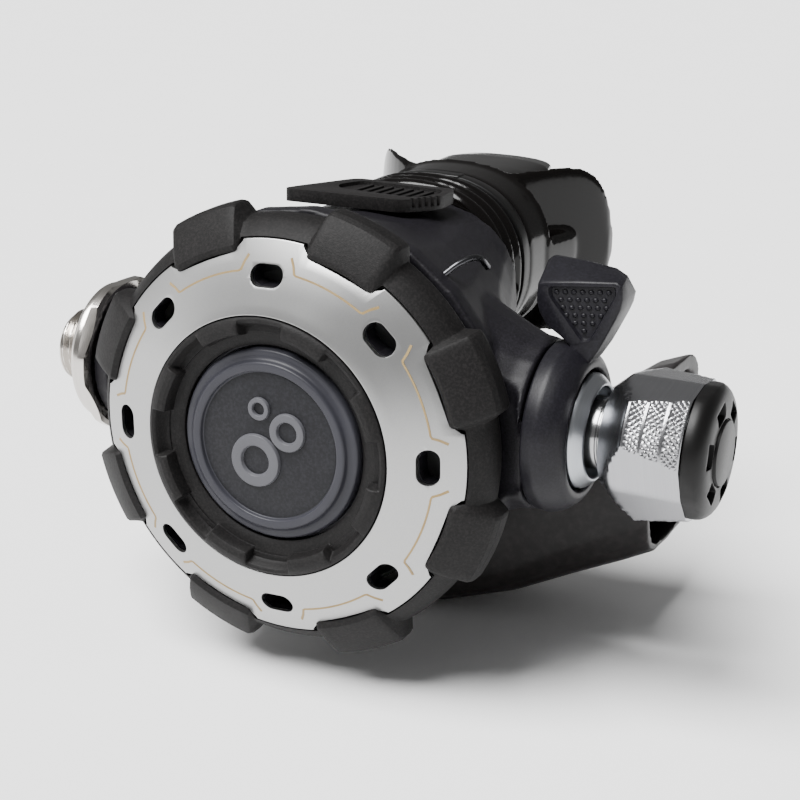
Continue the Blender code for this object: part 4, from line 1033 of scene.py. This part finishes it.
bridge = tube_y("bridge", [(50.5, (COVER_X - 2, 25.5), 11.0, 5.5, 2.6), (56.0, (COVER_X - 2, 27.0), 12.4,
    4.2, 2.6),
                           (66.0, (COVER_X - 2, 28.2), 13.0, 2.9, 2.6), (76.0, (COVER_X - 2, 28.8), 12.5,
                           2.2, 2.6), (81.5, (COVER_X - 2, 28.9), 11.0, 1.7, 2.4),
                           (83.4, (COVER_X - 2, 28.9), 9.0, 1.2, 2.2)])
tabs = [tube_y("tab", [(52.0, (COVER_X + side * 18.0, 16.0), 2.4, 4.5, 3.0), (62.0, (COVER_X + side * 20.0,
    16.0), 2.4, 4.5, 3.0),
                       (74.5, (COVER_X + side * 21.0, 16.0), 2.2, 4.3, 3.0), (76.0, (COVER_X + side * 21.0,
                       16.0), 1.5, 3.2, 2.6)]) for side in (-1, 1)]
mouth = joined([neck, sheet, bridge] + tabs, "mouthpiece_silicone")
MOUTH_VOXEL, MOUTH_RELAX = 0.42, 9
modify(mouth, "REMESH", mode="VOXEL", voxel_size=MOUTH_VOXEL * MM, use_smooth_shade=True)
modify(mouth, "SMOOTH", factor=0.5, iterations=MOUTH_RELAX)

# %% [markdown]
# The bore narrows behind the tie and opens at the lips. It is cut after the relaxing, so that its size
# stays true to the tube that it slides over.

# %% Mouthpiece bore
bore = tube_y("bore", [(20.0, (COVER_X, MOUTH_Z), 15.9, 11.9, 2.4), (45.6, (COVER_X, MOUTH_Z), 15.9, 11.9,
    2.4),
                       (45.8, (COVER_X, MOUTH_Z), 14.0, 9.5, 2.4), (56.0, (COVER_X, MOUTH_Z - 0.2), 13.0,
                       8.0, 2.4)])
combine(mouth, bore)
done(mouth, "base", ["mouthpiece"], mouth_silicone, 60)

# %% [markdown]
# ### Tie
# A flat nylon band round the neck, with its ratchet head on top.

# %% Mouthpiece tie
band_rings = []
for y, t in ((0.0, 1.45), (0.15, 1.68), (0.5, 1.75), (2.7, 1.75), (3.05, 1.68), (3.2, 1.45), (3.2, 0.3),
             (0.0, 0.3)):
    band_rings.append([(x, clamp_y + y, z) for x, z in oval((COVER_X, MOUTH_Z), MOUTH_A - 1.2 + t,
                                                            MOUTH_B - 1.2 + t, 2.3, 96)])
tie = lofted("mouthpiece_tie", band_rings, joined=True)
done(tie, "base", ["mouthpiece_clamp"], clamp_nylon, 40)
clean_start()
bpy.ops.mesh.primitive_cube_add(size=MM, location=((COVER_X + 3.0) * MM, (clamp_y + 1.6) * MM,
                                                   (MOUTH_Z + MOUTH_B - 0.1) * MM), scale=(4.6, 3.2, 1.1))
head = settle(bpy.context.object)
head.name = "tie_head"
ease_edges(head, 0.35, 40, 3)
done(head, "base", [], clamp_nylon, 40)

# %% Exhaust tee
tee = moulded("exhaust_tee_rubber", "exhaust_tee", 0.5, 6)
done(tee, "base", ["exhaust_tee"], tee_rubber, 70)

# %% [markdown]
# ## Inner pieces
# The valve's inner pieces keep their CAD shape. Each gets the finish of its real material, so that a
# section or a part taken off still looks right.

# %% Inner pieces
inner_finish = {
    "adjuster_o_ring": clamp_nylon, "orifice_o_ring": clamp_nylon, "lp_seat": clamp_nylon,
    "slip_ring": white_acetal,
    "diaphragm": clear_silicone, "exhaust_valve": clear_silicone, "diaphragm_plate": steel_plate,
    "demand_lever": steel_plate,
    "orifice": inner_metal, "poppet": inner_metal, "balance_chamber": inner_metal, "knob_screw": spring_wire,
    "poppet_spring": spring_wire, "purge_spring": spring_wire, "cover_body": case_plastic,
    "venturi_vane": case_plastic,
}
for name, finish in inner_finish.items():
    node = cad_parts[name]
    node.data.materials.clear()
    node.data.materials.append(finish)
print("inner pieces finished:", len(inner_finish))
